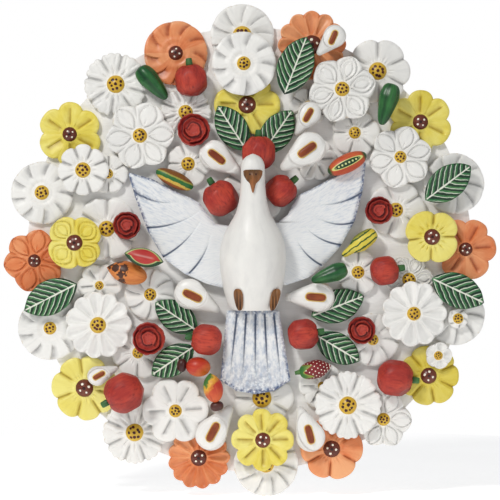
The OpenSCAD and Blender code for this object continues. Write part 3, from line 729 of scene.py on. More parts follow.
# ---------------------------------------------------------------- leaves
def leaf_paint():
    """Green and near-black stripes that slant to the tip, thin white veins between them, white midrib."""
    p = Paint("leaf_green")
    colour, streak = p.brushed((44, 108, 62), (24, 72, 44), (96, 146, 92), 0.8)
    x, y, _ = p.split(p.attribute("st", "Vector"))
    shake = p.span(p.noise(110, 3), 0.3, 0.7, -0.9, 0.9)
    side = p.math("ABSOLUTE", y)
    slant = p.minus(x, p.plus(p.times(side, 0.85),
                                         p.times(p.times(side, side), 0.014)))
    lane = p.plus(slant, shake)
    phase = p.math("FRACT", p.plus(p.math("DIVIDE", lane, 8.6), 10.0))
    dark = p.times(p.span(phase, 0.46, 0.6), p.span(phase, 1.0, 0.93))
    colour = p.mix(p.times(dark, 0.94), colour, (14, 36, 26))
    off = p.math("ABSOLUTE", p.minus(phase, 0.09))
    vein = p.times(p.span(off, 0.085, 0.04), p.attribute("inner"))
    rib = p.times(p.span(p.plus(side, p.times(shake, 0.4)), 1.1, 0.6),
                 p.attribute("inner"))
    white = p.math("MAXIMUM", p.times(vein, p.span(p.noise(90, 2), 0.3, 0.45, 0.35, 1.0)), rib)
    colour = p.mix(white, colour, (226, 228, 214))
    return p.finish(colour, 0.4, 0.4, streak=streak, relief=p.times(white, 0.9))


leaf_green = leaf_paint()


def axis_of(part):
    """Direction of the longest extent of a solid, in degrees."""
    p = part.points[:, :2] - part.mid[:2]
    values, vectors = np.linalg.eigh(p.T @ p)
    return math.degrees(math.atan2(vectors[1, 1], vectors[0, 1]))


def pick_way(part, rough):
    """The solid's own axis, pointed the way it is roughly known to point."""
    a = axis_of(part)
    return a + 180 if math.cos(math.radians(a - rough)) < 0 else a


def extent(part, degrees):
    """Length along an axis and width across it."""
    p = turned(part.points - part.mid, -degrees)
    return np.ptp(p[:, 0]), np.ptp(p[:, 1])


# Rough place of each leaf and the way its tip points
LEAVES = [(55, 222, 69), (-21, 147, 123), (33, 142, 55), (-241, -58, 207), (-89, -82, 146), (-93, -135, 214),
          (107, -69, 21), (107, -120, -31), (240, 80, 37), (252, -50, -25)]


def leaf(name, part, rough):
    """A leaf with a raised middle and ripples that follow its painted veins."""
    way = pick_way(part, rough)
    long, wide = extent(part, way)
    theta = circle(180)
    rim = part.outline(part.mid, theta + math.radians(way), part.seat + part.tall * 0.3) * SNUG
    rim = rim * (1 - np.abs(wobble(theta, 0.02)))
    us = shares(0.06, 0.92, 22, 0.96, 0.985, 1.0)
    rr = us * rim
    s, t = rr * np.cos(theta), rr * np.sin(theta)
    shape_h = part.tall * (0.72 + 0.28 * (1 - (np.abs(t) / (wide / 2)) ** 1.6))
    slant = s - 0.85 * np.abs(t) - 0.014 * t * t
    ripple = 0.4 * np.cos(2 * PI * (slant / 8.6 - 0.09)) * window(us, 0.05, 0.94, 0.1)
    h = shape_h - 0.5 + ripple - rounding(us, 0.9, 1.5)
    below = wall(rim, theta, h[-1], ((1.0, 0.5), (0.98, 0.0)))
    shape = slab(np.stack([s, t, h], -1), below, h[0].mean(), way,
                 inner=unit((0.97 - us) / 0.05) + 0 * rr, st=np.stack([s, t, 0 * s], -1),
                 flow=np.stack([s * 0.06, t * 0.9, 0 * s], -1) + rng.uniform(0, 50))
    shape.build(name, "leaves", [leaf_green], "leaf_paint", part.at)


found = parts("leaves")
for i, (x, y, way) in enumerate(LEAVES):
    leaf(f"leaf_{i + 1:02d}", nearest(found, x, y), way)


# ---------------------------------------------------------------- calla lilies
def calla_paint():
    """White, with painted shade round its face and on its sides, and a thin ochre outline round the spadix.
    """
    p = Paint("calla_white")
    colour, streak = p.brushed((230, 229, 225), (214, 213, 211), (241, 240, 236), 0.5)
    # Painted shade: darker in the groove round the face and on the rounded body outside it.
    colour = p.mix(p.span(p.attribute("hollow"), 0.1, 1.2, 0, 0.8), colour, (186, 182, 176))
    ring = p.plus(p.attribute("halo"), p.span(p.noise(240, 3), 0.3, 0.7, -0.2, 0.2))
    colour = p.mix(p.span(ring, 0.4, 0.6), colour, (226, 196, 112))
    rub = p.times(p.attribute("edge"), p.span(p.noise(180, 4), 0.6, 0.7))
    colour = p.mix(p.times(rub, 0.4), colour, (210, 190, 150))
    return p.finish(colour, 0.38, 0.3, streak=streak)


calla_white = calla_paint()
# Rough place, the way from the tail to the head, the spadix's turn, half the face's length as a share
CALLAS = [(97, 251, 47, 20, 0.33), (68, 157, 60, 0, 0.33), (63, 115, 36, 0, 0.37), (-34, 108, 145, 177, 0.41),
          (-63, -60, 150, 185, 0.32), (73, -58, 0, -4, 0.42), (-40, -215, 234, 8, 0.34),
          (70, -217, 291, -6, 0.42), (-178, -151, 202, 8, 0.33)]


def calla(i, part, rough, spadix_part, spin, face_l):
    """A tear-shaped calla with a scooped oval face, and the spadix that lies on it."""
    way = pick_way(part, rough)
    long, wide = extent(part, way)
    theta = circle(144)
    rim = part.outline(part.mid, theta + math.radians(way), part.seat + 1.0) * SNUG
    us = shares(0.06, 0.9, 20, 0.94, 0.97, 0.99, 1.0)
    rr = us * rim
    s, t = rr * np.cos(theta), rr * np.sin(theta)
    face = np.hypot((s - (0.455 - face_l) * long) / (face_l * long), t / (0.44 * wide))
    body = part.tall * (0.55 + 0.45 * (1 - us ** 3.5))
    body = body - 0.12 * part.tall * unit(-s / long - 0.1) * 4
    scoop = unit((1.06 - face) / 0.10) * 2.6
    lip = 0.35 * np.exp(-((face - 1.16) / 0.10) ** 2)
    h = body - scoop + lip - rounding(us, 0.86, 2.8) - 0.3
    below = wall(rim, theta, h[-1], ((1.0, 0.55), (0.99, 0.25), (0.95, 0.0)))
    at = spadix_part.mid - part.mid
    bar = turned(np.stack([s, t], -1), way)
    sp_way = pick_way(spadix_part, way + spin)
    sp_l, sp_w = extent(spadix_part, sp_way)
    rel = turned(np.concatenate([bar - at[:2], 0 * bar[..., :1]], -1), -sp_way)
    far = np.hypot(np.maximum(np.abs(rel[..., 0]) - (sp_l - sp_w) / 2, 0), rel[..., 1]) - sp_w / 2
    shape = slab(np.stack([s, t, h], -1), below, h[0].mean(), way,
                 halo=unit((1.6 - far) / 1.2),
                 # painted shade in the groove round the face and on the body outside it
                 hollow=unit(1 - np.abs(face - 1.02) / 0.07) + 0.45 * unit((face - 1) * 8),
                 edge=unit((us - 0.9) * 10) + 0 * rr,
                 flow=np.stack([s * 0.05, t * 0.6, 0 * s], -1) + rng.uniform(0, 50))
    shape.build(f"calla_{i:02d}", "calla_lilies", [calla_white], "white_paint",
                part.at)
    spadix(f"calla_spadix_{i:02d}", spadix_part, sp_way, sp_l * 0.98, sp_w * 0.98)


def spadix(name, part, way, long, wide):
    """A rounded bar with a paler painted rim."""
    theta = circle(48)
    c, s = np.cos(theta), np.sin(theta)
    power = 0.62
    ex = np.sign(c) * np.abs(c) ** power * long / 2
    ey = np.sign(s) * np.abs(s) ** power * wide / 2
    rows = []
    for share, h in ((0.35, 0.97), (0.6, 0.93), (0.78, 0.82), (0.9, 0.62), (1.0, 0.3), (1.0, 0.0)):
        inset = (1 - share) * wide / 2
        rows.append(np.stack([ex * (1 - inset * 2 / long), ey * share, 0 * ex + part.tall * h], -1))
    shape = Shape()
    rings = np.array(rows)
    shape.grid(turned(rings, way), (0, 0, part.tall * 0.98), (0, 0, 0),
               light=np.broadcast_to(np.array([0, 0, 0.1, 0.8, 1, 1])[:, None], rings.shape[:2]),
               flow=rings * np.array([0.1, 0.9, 0]) + rng.uniform(0, 50))
    shape.build(name, "calla_spadices", [spadix_brown], "spadix_paint", part.at)


found, bars = parts("calla_lilies"), parts("calla_spadices")
for i, (x, y, way, spin, face_l) in enumerate(CALLAS):
    lily = nearest(found, x, y)
    calla(i + 1, lily, way, nearest(bars, lily.mid[0] + 0.1 * lily.size[0] * math.cos(math.radians(way)),
                                    lily.mid[1] + 0.1 * lily.size[1] * math.sin(math.radians(way))),
          spin, face_l)


# ---------------------------------------------------------------- roses, tomatoes, peppers
def rose(name, part):
    """Three rows of petals that step up and coil towards the middle."""
    r, tall = part.radius * SNUG, part.tall
    theta = circle(120)
    us = shares(0.05, 1.0, 44)
    h = us * 0 * theta
    hollow = h
    for k, (at, level, lobes) in enumerate(((0.985, 0.56, 11), (0.80, 0.76, 7), (0.50, 0.96, 5))):
        shift = rng.uniform(0, 6)
        coil = 0.13 * (((theta + shift) / (2 * PI)) % 1) * (k > 0)
        wave = 0.04 * np.abs(np.sin(lobes * theta / 2 + shift)) - 0.03 + 0.02 * np.sin(3 * theta + shift)
        edge = r * (at + wave - coil)
        if k == 0:
            rim = np.minimum(edge, r)
        depth = edge - us * rim
        inside = unit(depth / 0.9)
        curl = 0.14 * np.exp(-((depth - 1.3) / 1.1) ** 2)
        dish = 0.16 * unit(depth / (0.22 * r))
        h = np.where(inside > 0, np.maximum(h, (level + curl - dish) * inside), h)
        # Painted shade in the grooves between the rows.
        hollow = np.maximum(hollow, np.exp(-((depth + 0.5) / 1.1) ** 2) * (k > 0))
    h = np.clip(h * tall, 1.0, tall * SNUG)
    h[-1] = tall * 0.3
    rows = np.concatenate([polar(us * rim, theta, h), polar(rim * 0.98, theta, 0)[None]])
    # Painted highlight on the raised rows, none in the grooves.
    light = unit(h / tall - 0.55) * 1.2 * (1 - hollow)
    shape = Shape()
    shape.grid(rows, (0, 0, h[0].mean()), (0, 0, 0), hollow=np.concatenate([hollow, hollow[-1:]]),
               light=np.concatenate([light, light[-1:]]),
               flow=polar(4, theta, rows[..., 2] * 0.3) + rng.uniform(0, 50))
    shape.build(name, "roses", [rose_red], "rose_paint", part.at, sharp=45)


for i, part in enumerate(parts("roses")):
    rose(f"rose_{i + 1}", part)


def tomato(name, part, stem_way, lobes):
    """A ball on its flat back, softly lobed round the stem's end."""
    r = part.radius * SNUG
    mid_h = part.seat + part.tall - part.radius
    theta = circle(96)
    phi = np.concatenate([np.linspace(0.06, 1.62, 34), np.linspace(1.68, 2.1, 5)])
    base = -(mid_h - part.seat)
    way = math.radians(stem_way)
    x = np.sin(phi)[:, None] * np.cos(theta)
    y = np.sin(phi)[:, None] * np.sin(theta)
    z = np.cos(phi)[:, None] + 0 * theta
    along = x * math.cos(way) + y * math.sin(way)
    across = -x * math.sin(way) + y * math.cos(way)
    turn = np.arctan2(z, across)
    crease = np.abs(np.sin(lobes * turn / 2)) ** 0.5
    near = unit(along * 1.1 + 0.1) ** 1.5
    square = (np.abs(along) ** 3 + np.abs(across) ** 3 + np.abs(z) ** 3) ** (-1 / 3)
    radius = r * np.minimum(0.93 * square, 1)
    radius = radius * (1 - 0.04 * (1 - crease) * near - 0.10 * np.exp(-((1 - along) / 0.07) ** 2))
    way3 = np.stack([x, y, z], -1)
    for _ in range(6):
        cut = rng.normal(size=3)
        cut[2] = abs(cut[2]) * 0.8
        cut = cut / np.linalg.norm(cut)
        lean = np.maximum(way3 @ cut, 0.05)
        radius = np.minimum(radius, r * rng.uniform(0.89, 0.95) / lean)
    pts = np.stack([x * radius, y * radius, np.maximum(z * radius, base)], -1)
    # Painted shade: darker in the creases round the stem, low towards the board and on the lower right side;
    # the lower side also has a darker red wash.
    hollow = unit((1 - crease) * near * 1.4) * 0.5 + unit(0.35 - z) * 0.6
    hollow = hollow + 0.7 * unit(0.5 * x - y - 0.25)
    shape = Shape()
    shape.grid(pts, (0, 0, radius[0].mean()), (0, 0, base), hollow=hollow,
               flow=np.stack([along * 0.9, across * 9, z * 9], -1) + rng.uniform(0, 50))
    shape.build(name, "tomatoes", [tomato_red], "tomato_paint", (part.mid[0], part.mid[1], mid_h), sharp=55)


# Rough place and the way that the stem points
TOMATOES = [(-71, 205, 96), (11, 117, 90), (-35, 62, 121), (38, 71, 40), (-52, -109, 172), (65, -103, 9),
            (164, -26, 9), (176.5, -156, -7), (-151, -173, 209)]
found, stems = parts("tomatoes"), parts("fruit_stems")
for i, (x, y, way) in enumerate(TOMATOES):
    tomato(f"tomato_{i + 1}", nearest(found, x, y), way, 6 if i < 7 else 5)


def loft(part, way, profile, rings=46, around=40, lobes=0, lobe_depth=0.0, swell=None, values=None):
    """A long rounded body along its axis, flat on its back: profile gives the half width at -1..1."""
    long, wide = extent(part, way)
    k = np.sin(np.linspace(-PI / 2, PI / 2, rings + 2))[1:-1]
    phi = circle(around)
    half = profile(k)
    half = half / half.max() * wide / 2 * SNUG
    axis_h = part.tall - wide / 2
    wave = 1 - lobe_depth * (1 - np.abs(np.cos(lobes * phi / 2))) if lobes else np.ones_like(phi)
    around_r = half[:, None] * wave
    if swell:
        around_r = around_r + swell(k[:, None] + 0 * phi, phi[None] + 0 * k[:, None])
    y = around_r * np.cos(phi)
    z = axis_h + around_r * np.sin(phi)
    x = k[:, None] * long / 2 * SNUG + 0 * phi
    pts = np.stack([x, y, np.clip(z, 0, part.tall)], -1)
    st = np.stack([x, y, z - axis_h], -1)
    # Darker between the lobes: painted shade in the creases, read by the pepper paint.
    more = {"hollow": np.broadcast_to((1 - wave) / max(lobe_depth, 0.01) * 0.8, x.shape)} if lobes else {}
    if values:
        more.update(values(k[:, None] + 0 * phi, np.broadcast_to(phi, x.shape)))
    shape = Shape()
    start, end = turned([[-long / 2 * 0.99, 0, axis_h], [long / 2 * 0.99, 0, axis_h]], way)
    flow = np.stack([x * 0.05, np.cos(phi) * 4 + 0 * x, np.sin(phi) * 4 + 0 * x], -1) + rng.uniform(0, 50)
    shape.grid(turned(pts, way), start, end, st=st, flow=flow, **more)
    return shape


def ends(blunt_a, blunt_b):
    """An oval whose two ends differ in bluntness."""
    return lambda k: np.where(k < 0, np.maximum(1 - np.abs(k) ** 2, 0) ** blunt_a,
                              np.maximum(1 - np.abs(k) ** 2, 0) ** blunt_b)


def club(blunt, neck, start, stop):
    """A blunt wide end that narrows to a rounded neck."""
    def half(k):
        return np.maximum(1 - np.abs(k) ** 3, 0) ** blunt * (1 - neck * unit((k - start) / (stop - start)))

    return half


# Painted highlight on one side of each lobe at the wide end.
def pepper_light(k, phi):
    return {"light": unit(-k) * unit(np.sin(phi * 5 / 2 + 1)) * 0.35}


# Rough place and the way that the tip points
PEPPERS = [(-116, 200, -48), (165, 175, 255), (96, -31, 200)]
for i, (x, y, way) in enumerate(PEPPERS):
    part = nearest(parts("green_peppers"), x, y)
    shape = loft(part, pick_way(part, way), club(0.3, 0.5, -0.35, 1.0), lobes=5, lobe_depth=0.1,
                 values=pepper_light)
    shape.build(f"green_pepper_{i + 1}", "green_peppers", [pepper_green], "pepper_paint", part.at, sharp=50)

# The strawberry's calyx is one of the stems
calyx_part = nearest(stems, 57, -150)
for i, part in enumerate(stems):
    if part is calyx_part:
        continue
    ball = nearest(found, part.mid[0], part.mid[1])
    way = math.degrees(math.atan2(part.mid[1] - ball.mid[1], part.mid[0] - ball.mid[0]))
    long, wide = extent(part, way)
    theta = circle(20)
    rows = []
    for k, share in ((-1, 0.9), (-0.5, 0.98), (0, 0.92), (0.5, 0.86), (0.9, 0.8), (1, 0.55)):
        radius = part.tall / 2 * share * (1 + 0.05 * np.sin(3 * theta + i))
        rows.append(np.stack([k * long / 2 * 0.98 - 2.6 * (k < 0) + 0 * theta, radius * np.cos(theta) * 0.98,
                              radius * np.sin(theta) * 0.98], -1))
    rings = np.array(rows)
    shape = Shape()
    start, end = turned([[-long / 2 - 2.7, 0, 0], [long / 2 * 0.98, 0, 0]], way)
    # Darker at the end that sinks into the fruit and a little at the tip: painted shade.
    shape.grid(turned(rings, way), start, end,
               hollow=np.broadcast_to(np.array([1, 0.3, 0, 0, 0, 0.4])[:, None], rings.shape[:2]),
               flow=rings * np.array([0.1, 1, 1]) + rng.uniform(0, 50))
    shape.build(f"stem_{i + 1:02d}", "fruit_stems", [stem_green], "stem_paint", part.mid)


# ---------------------------------------------------------------- single fruits
def fruit_paint(name, base, dark, light, pattern, rough=0.42):
    """Fruit paint; pattern adds marks from the body's own coordinates."""
    p = Paint(name)
    colour, streak = p.brushed(base, dark, light, 0.7)
    x, y, _ = p.split(p.attribute("st", "Vector"))
    colour = pattern(p, colour, x, y)
    return p.finish(colour, rough, 0.35, streak=streak)


def corn_marks(p, colour, x, y):
    """Stripes along the cob, crossed by thin dark rows."""
    shake = p.span(p.noise(120, 2), 0.3, 0.7, -0.6, 0.6)
    lane = p.plus(y, shake)
    stripes = ((-12, -6.0, (150, 84, 34)), (-6.0, -3.0, (206, 172, 70)), (-3.0, 1.6, (40, 104, 48)),
               (1.6, 3.4, (150, 150, 62)), (3.4, 12.0, (126, 78, 32)))
    for low, high, tint in stripes:
        inside = p.times(p.span(lane, low - 0.2, low + 0.2), p.span(lane, high + 0.2, high - 0.2))
        colour = p.mix(inside, colour, tint)
    rows = p.math("FRACT", p.plus(p.math("DIVIDE", x, 3.4), 20.0))
    line = p.times(p.span(rows, 0.16, 0.05), 0.55)
    return p.mix(p.times(line, 0.5), colour, (70, 40, 22))


def slit_marks(p, colour, x, y):
    """A dark cut with pale seeds in it, and green ends."""
    nx, ny = p.math("DIVIDE", x, 17.0), p.math("DIVIDE", y, 3.6)
    ring = p.plus(p.math("POWER", p.math("ABSOLUTE", nx), 2.0), p.math("POWER", p.math("ABSOLUTE", ny), 2.0))
    colour = p.mix(p.span(ring, 1.55, 1.4), colour, (214, 216, 128))
    colour = p.mix(p.span(ring, 1.1, 0.95), colour, (28, 62, 34))
    seeds = p.math("FRACT", p.plus(p.math("DIVIDE", x, 4.6), 20.0))
    near = p.plus(p.math("POWER", p.math("ABSOLUTE", p.times(p.minus(seeds, 0.5), 4.6)), 2.0),
                  p.math("POWER", p.math("ABSOLUTE", y), 2.0))
    drop = p.times(p.span(near, 1.8, 1.2), p.span(ring, 0.9, 0.8))
    colour = p.mix(drop, colour, (206, 214, 148))
    return p.mix(p.span(p.math("ABSOLUTE", x), 20, 23), colour, (44, 78, 40))


def spotted_marks(p, colour, x, y):
    """Brown spots."""
    node = p.make("ShaderNodeTexVoronoi")
    node.inputs["Scale"].default_value = 78
    p.put(node.inputs["Vector"], p.place)
    edge = p.plus(node.outputs["Distance"], p.span(p.noise(300, 3), 0.3, 0.7, -0.14, 0.14))
    return p.mix(p.span(edge, 0.42, 0.36), colour, (74, 42, 30))


def gourd_marks(p, colour, x, y):
    """Green stripes, and a green underside."""
    shake = p.span(p.noise(150, 2), 0.3, 0.7, -0.8, 0.8)
    lane = p.math("FRACT", p.plus(p.math("DIVIDE", p.plus(y, shake), 6.4), 10.2))
    colour = p.mix(p.times(p.span(lane, 0.34, 0.28), p.span(lane, 0.02, 0.08)), colour, (40, 84, 38))
    return p.mix(p.span(y, -5, -9, 0, 0.7), colour, (40, 84, 38))


def berry_marks(p, colour, x, y):
    """Green sepals over the red."""
    leafy = p.attribute("sepal")
    colour = p.mix(p.span(leafy, 0.2, 0.6), colour, (150, 156, 62))
    return p.mix(p.span(leafy, 0.8, 1.3), colour, (54, 112, 50))


def cashew_marks(p, colour, x, y):
    """Red, orange towards the far end."""
    lane = p.plus(p.minus(x, y), p.span(p.noise(90, 3), 0.3, 0.7, -3, 3))
    return p.mix(p.span(lane, 2, 16, 0, 0.8), colour, (222, 124, 46))


def ripe_marks(p, colour, x, y):
    """Red that goes through yellow to green at one shoulder."""
    lane = p.plus(p.plus(x, y), p.span(p.noise(150, 3), 0.3, 0.7, -4, 4))
    colour = p.mix(p.span(lane, 0, 8), colour, (224, 168, 56))
    return p.mix(p.span(lane, 9, 14), colour, (62, 116, 52))


corn_skin = fruit_paint("corn_skin", (206, 150, 60), (170, 110, 44), (228, 190, 100), corn_marks)
cut_skin = fruit_paint("cut_fruit_skin", (188, 74, 42), (148, 48, 32), (214, 112, 64), slit_marks)
spotted_skin = fruit_paint("spotted_skin", (206, 118, 56), (170, 86, 42), (228, 152, 84), spotted_marks)
gourd_skin = fruit_paint("gourd_skin", (214, 196, 62), (180, 158, 46), (234, 220, 104), gourd_marks)
berry_skin = fruit_paint("strawberry_skin", (104, 22, 28), (72, 14, 20), (140, 36, 38), berry_marks)
cashew_skin = fruit_paint("cashew_skin", (184, 52, 34), (142, 36, 28), (210, 92, 46), cashew_marks)
ripe_skin = fruit_paint("ripe_cashew_skin", (182, 54, 36), (140, 36, 28), (214, 104, 52), ripe_marks)

# Node, rough place, way of its axis, end shapes, skin, slot
FRUITS = [
    ("corn_cob", -91, 85, -25, 0.5, 0.5, corn_skin, "corn_paint"),
    ("cut_fruit", 118, 104, 25, 0.5, 0.5, cut_skin, "cut_fruit_paint"),
    ("spotted_fruit", -149, -28, 165, 0.5, 0.9, spotted_skin, "spotted_paint"),
    ("gourd", 132, 5, 216, 0.3, 0.7, gourd_skin, "gourd_paint"),
    ("strawberry", 80, -145, 13, 0.35, 0.9, berry_skin, "strawberry_paint"),
    ("cashew_fruits", -62, -142, -5, 0.5, 0.5, cashew_skin, "cashew_paint"),
    ("cashew_fruits", -44, -166, 102, 0.5, 0.8, ripe_skin, "cashew_paint"),
]
def sepals(k, phi):
    """1 on the strawberry's leafy cap, 0 on its flesh."""
    return unit((-0.08 - 0.62 * np.abs(np.sin(2.5 * phi + 0.6)) - k) / 0.12)


for i, (node, x, y, way, a, b, skin, slot) in enumerate(FRUITS):
    part = nearest(parts(node), x, y)
    way = pick_way(part, way)
    name = f"{node}_{i}" if node == "cashew_fruits" else node + "_body"
    paints, more = [skin], {}
    if node == "strawberry":
        paints.append(cream_dots)
        more = {"swell": lambda k, p: 0.7 * sepals(k, p) * np.sin(p), "around": 80,
                "values": lambda k, p: {"sepal": sepals(k, p) * (0.7 + 0.9 * unit(-k - 0.1))}}
    profile = club(0.35, 0.5, 0.0, 0.5) if node == "gourd" else ends(a, b)
    lobes = {"corn_cob": 16, "gourd": 7}.get(node, 0)
    shape = loft(part, way, profile, lobes=lobes, lobe_depth=0.06, **more)
    if node == "strawberry":
        long, wide = extent(part, way)
        axis_h = part.tall - wide / 2
        spots = []
        for row, k in enumerate(np.linspace(-0.6, 0.88, 9)):
            half = float(ends(a, b)(np.array(k))) * wide / 2 * SNUG
            for phi in np.arange(0.35, PI - 0.2, 0.55):
                phi = phi + 0.27 * (row % 2)
                if sepals(k, phi) > 0:
                    continue
                c, s = math.cos(phi), math.sin(phi)
                p = turned([[k * long / 2 * SNUG, half * c, axis_h + half * s]], way)[0]
                q = turned([[k * 0.4, c, s]], way)[0]
                spots.append((p, q, 0.8))
        blobs(shape, spots, 1)
    shape.build(name, node, paints, slot, part.at, sharp=50)

for i, part in enumerate(parts("cashew_nuts")):
    shape = loft(part, axis_of(part), ends(0.4, 0.4), rings=26, around=28)
    shape.build(f"cashew_nut_{i + 1}", "cashew_nuts", [nut_brown], "nut_paint", part.at, sharp=50)


def calyx():
    """The strawberry's stem, which widens into sepals."""
    part = calyx_part
    way = pick_way(parts("strawberry")[0], 13)
    long, wide = extent(part, way)
    h0 = part.tall / 2
    theta = circle(60)
    rows = []
    for k in np.linspace(-1, 1, 14):
        grow = 0.36 + 0.3 * unit((k + 0.2) / 1.2) ** 1.4
        star = 1 - 0.32 * unit(k) * (1 - np.abs(np.cos(2.5 * theta)))
        radius = wide / 2 * grow * star * 0.98
        rows.append(np.stack([k * long / 2 * 0.98 + 3 * unit(k) + 0 * theta, radius * np.cos(theta),
                              np.clip(radius * np.sin(theta), -h0, h0)], -1))
    rings = np.array(rows)
    shape = Shape()
    start, end = turned([[-long / 2 * 0.97, 0, 0], [long / 2 + 3, 0, 0]], way)
    shape.grid(turned(rings, way), start, end,
               light=np.broadcast_to(unit(np.linspace(-1, 1, 14))[:, None] * 0.5, rings.shape[:2]),
               flow=rings * np.array([0.1, 0.9, 0.9]) + rng.uniform(0, 50))
    shape.build("strawberry_calyx", "fruit_stems", [stem_green], "stem_paint", part.mid)


calyx()


def melon_paint():
    """Red flesh, pale rind and green skin, and one faint painted highlight stroke."""
    p = Paint("melon_slice")
    colour, streak = p.brushed((176, 44, 42), (132, 30, 32), (206, 84, 66), 0.7)
    rim = p.attribute("edge")
    colour = p.mix(p.span(rim, 0.57, 0.60), colour, (170, 186, 120))
    colour = p.mix(p.span(rim, 0.66, 0.70), colour, (26, 66, 38))
    # A faint pale stroke along the flesh: painted highlight.
    colour = p.mix(p.attribute("light"), colour, (240, 226, 214))
    return p.finish(colour, 0.4, 0.3, streak=streak)


def melon():
    """A watermelon slice, red inside a pale and a green rim."""
    part = parts("watermelon_slice")[0]
    way = pick_way(part, -13)
    long, wide = extent(part, way)
    theta = circle(120)
    rim = part.outline(part.mid, theta + math.radians(way), part.seat + part.tall * 0.5) * SNUG
    us = shares(0.08, 0.9, 16, 0.95, 0.98, 1.0)
    rr = us * rim
    s, t = rr * np.cos(theta), rr * np.sin(theta)
    h = part.tall * (0.62 + 0.37 * (1 - (np.abs(t) / (wide / 2)) ** 1.8))
    h = h * (1 - 0.25 * (np.abs(s) / long * 2) ** 3) - rounding(us, 0.9, 1.5)
    below = wall(rim, theta, h[-1], ((1.0, 0.5), (0.98, 0.0)))
    # The pale stroke along the flesh, a painted highlight.
    seeds = np.exp(-(((t - wide * 0.06) / (wide * 0.05)) ** 2)) * window(s / long, -0.3, 0.28, 0.1)
    shape = slab(np.stack([s, t, h], -1), below, h[0].mean(), way,
                 edge=(us + 0 * rr) ** 1.3 * np.where(t < 0, 1.0, 0.72),
                 light=seeds * 0.25,
                 flow=np.stack([s * 0.05, t * 0.8, 0 * s], -1))
    shape.build("watermelon_slice_body", "watermelon_slice", [melon_paint()], "melon_paint",
                part.at)


melon()


# ---------------------------------------------------------------- dove
def feather_paint():
    """White with thin dark-blue cuts and a dry blue brush towards the tips."""
    p = Paint("dove_feathers")
    colour, streak = p.brushed((226, 228, 229), (206, 212, 220), (238, 239, 238), 0.6)
    dry = p.noise(1.0, 4, p.attribute("flow", "Vector"), 0.7)
    reach = p.times(p.attribute("edge"), p.span(dry, 0.44, 0.66))
    colour = p.mix(p.times(reach, 0.7), colour, (112, 142, 178))
    deep = p.times(p.span(p.attribute("edge"), 0.5, 1.1), p.span(p.noise(300, 4), 0.4, 0.56))
    colour = p.mix(p.times(deep, 0.85), colour, (48, 66, 112))
    cut = p.attribute("hollow")
    colour = p.mix(p.span(cut, 0.25, 0.7, 0, 0.9), colour, (74, 88, 112))
    return p.finish(colour, 0.38, 0.3, streak=streak)


feather = feather_paint()


def segment_gap(x, y, p, q, bow=0.0):
    """Distance from the line p-q, bowed sideways, and the share along it."""
    p, q = np.array(p, float), np.array(q, float)
    way = q - p
    size = np.hypot(*way)
    way = way / size
    s = (x - p[0]) * way[0] + (y - p[1]) * way[1]
    t = -(x - p[0]) * way[1] + (y - p[1]) * way[0]
    share = unit(s / size)
    t = t - bow * 4 * share * (1 - share)
    return np.hypot(s - share * size, t), share


# Incised feather lines as shares of the wing's box: from, to, bow in mm
LEFT_LINES = [((0.04, 0.84), (0.42, 0.74), -6), ((0.12, 0.52), (0.58, 0.66), -6),
              ((0.25, 0.25), (0.58, 0.56), -5), ((0.50, 0.13), (0.67, 0.45), -4)]
RIGHT_LINES = [((0.97, 0.74), (0.52, 0.64), 6), ((0.90, 0.50), (0.54, 0.55), 6),
               ((0.78, 0.32), (0.45, 0.47), 5), ((0.60, 0.16), (0.37, 0.38), 4)]
TAIL_LINES = [((0.5 + 0.13 * i, 0.95), (0.5 + 0.185 * i, 0.12), 0) for i in (-2, -1, 0, 1, 2)]


def plumage(name, node, lines, centre_share, tip, root, wash):
    """A carved wing or tail: outline from the CAD node, pillowed, with V-cut feather lines."""
    part = parts(node)[0]
    centre = part.low + part.size * np.array([centre_share[0], centre_share[1], 0])
    theta = circle(330)
    rim = part.outline(centre, theta, part.seat + 1.0) - 0.4
    us = shares(0.02, 0.93, 62, 0.955, 0.98, 1.0)
    rr = us * rim
    x, y = centre[0] + rr * np.cos(theta), centre[1] + rr * np.sin(theta)
    cut = near_cut = np.zeros_like(x)

    def inside(share):
        return part.low[:2] + part.size[:2] * np.array(share, float)

    for p, q, bow in lines:
        gap, share = segment_gap(x, y, inside(p), inside(q), bow)
        cut = np.maximum(cut, vee(gap, 1.9, 2.4) * np.clip(1.15 - share, 0.25, 1))
        near_cut = np.maximum(near_cut, unit(1 - gap / 6) * (1 - share))
    inset = (1 - us) * rim
    bevel = 2.4 * unit(1 - inset / 7.0) ** 2
    h = part.tall - 0.2 - cut - bevel
    below = [np.stack([x[-1], y[-1], h[-1] * low], -1)[None] for low in (0.5, 0.0)]
    to_tip = inside(tip)
    far = np.hypot(x - to_tip[0], y - to_tip[1]) / np.hypot(*part.size[:2])
    rub = unit(1 - inset / 6)
    blue = wash + unit(1 - far * 2) * 0.5 + rub * (0.45 + 0.5 * unit(1.2 - far * 1.6))
    root = inside(root)
    way = to_tip - root
    dx, dy = x - root[0], y - root[1]
    spread = np.arctan2(dx * way[1] - dy * way[0], dx * way[0] + dy * way[1])
    shape = slab(np.stack([x, y, h], -1), below, part.tall - 0.2, middle=centre[:2],
                 hollow=unit(cut / 2.0), edge=np.clip(blue + 0.5 * near_cut, 0, 1.5),
                 flow=np.stack([spread * 55, np.hypot(dx, dy) * 0.09, 0 * x], -1))
    shape.build(name, node, [feather], "dove_paint", (0, 0, part.seat))


plumage("dove_wing_left_carved", "dove_wing_left", LEFT_LINES, (0.56, 0.48), (0.0, 0.9), (1.05, 0.3), 0.08)
plumage("dove_wing_right_carved", "dove_wing_right", RIGHT_LINES, (0.42, 0.5), (1.0, 0.9), (-0.05, 0.3), 0.08)
plumage("dove_tail_carved", "dove_tail", TAIL_LINES, (0.5, 0.4), (0.5, -0.1), (0.5, 3.2), 0.42)

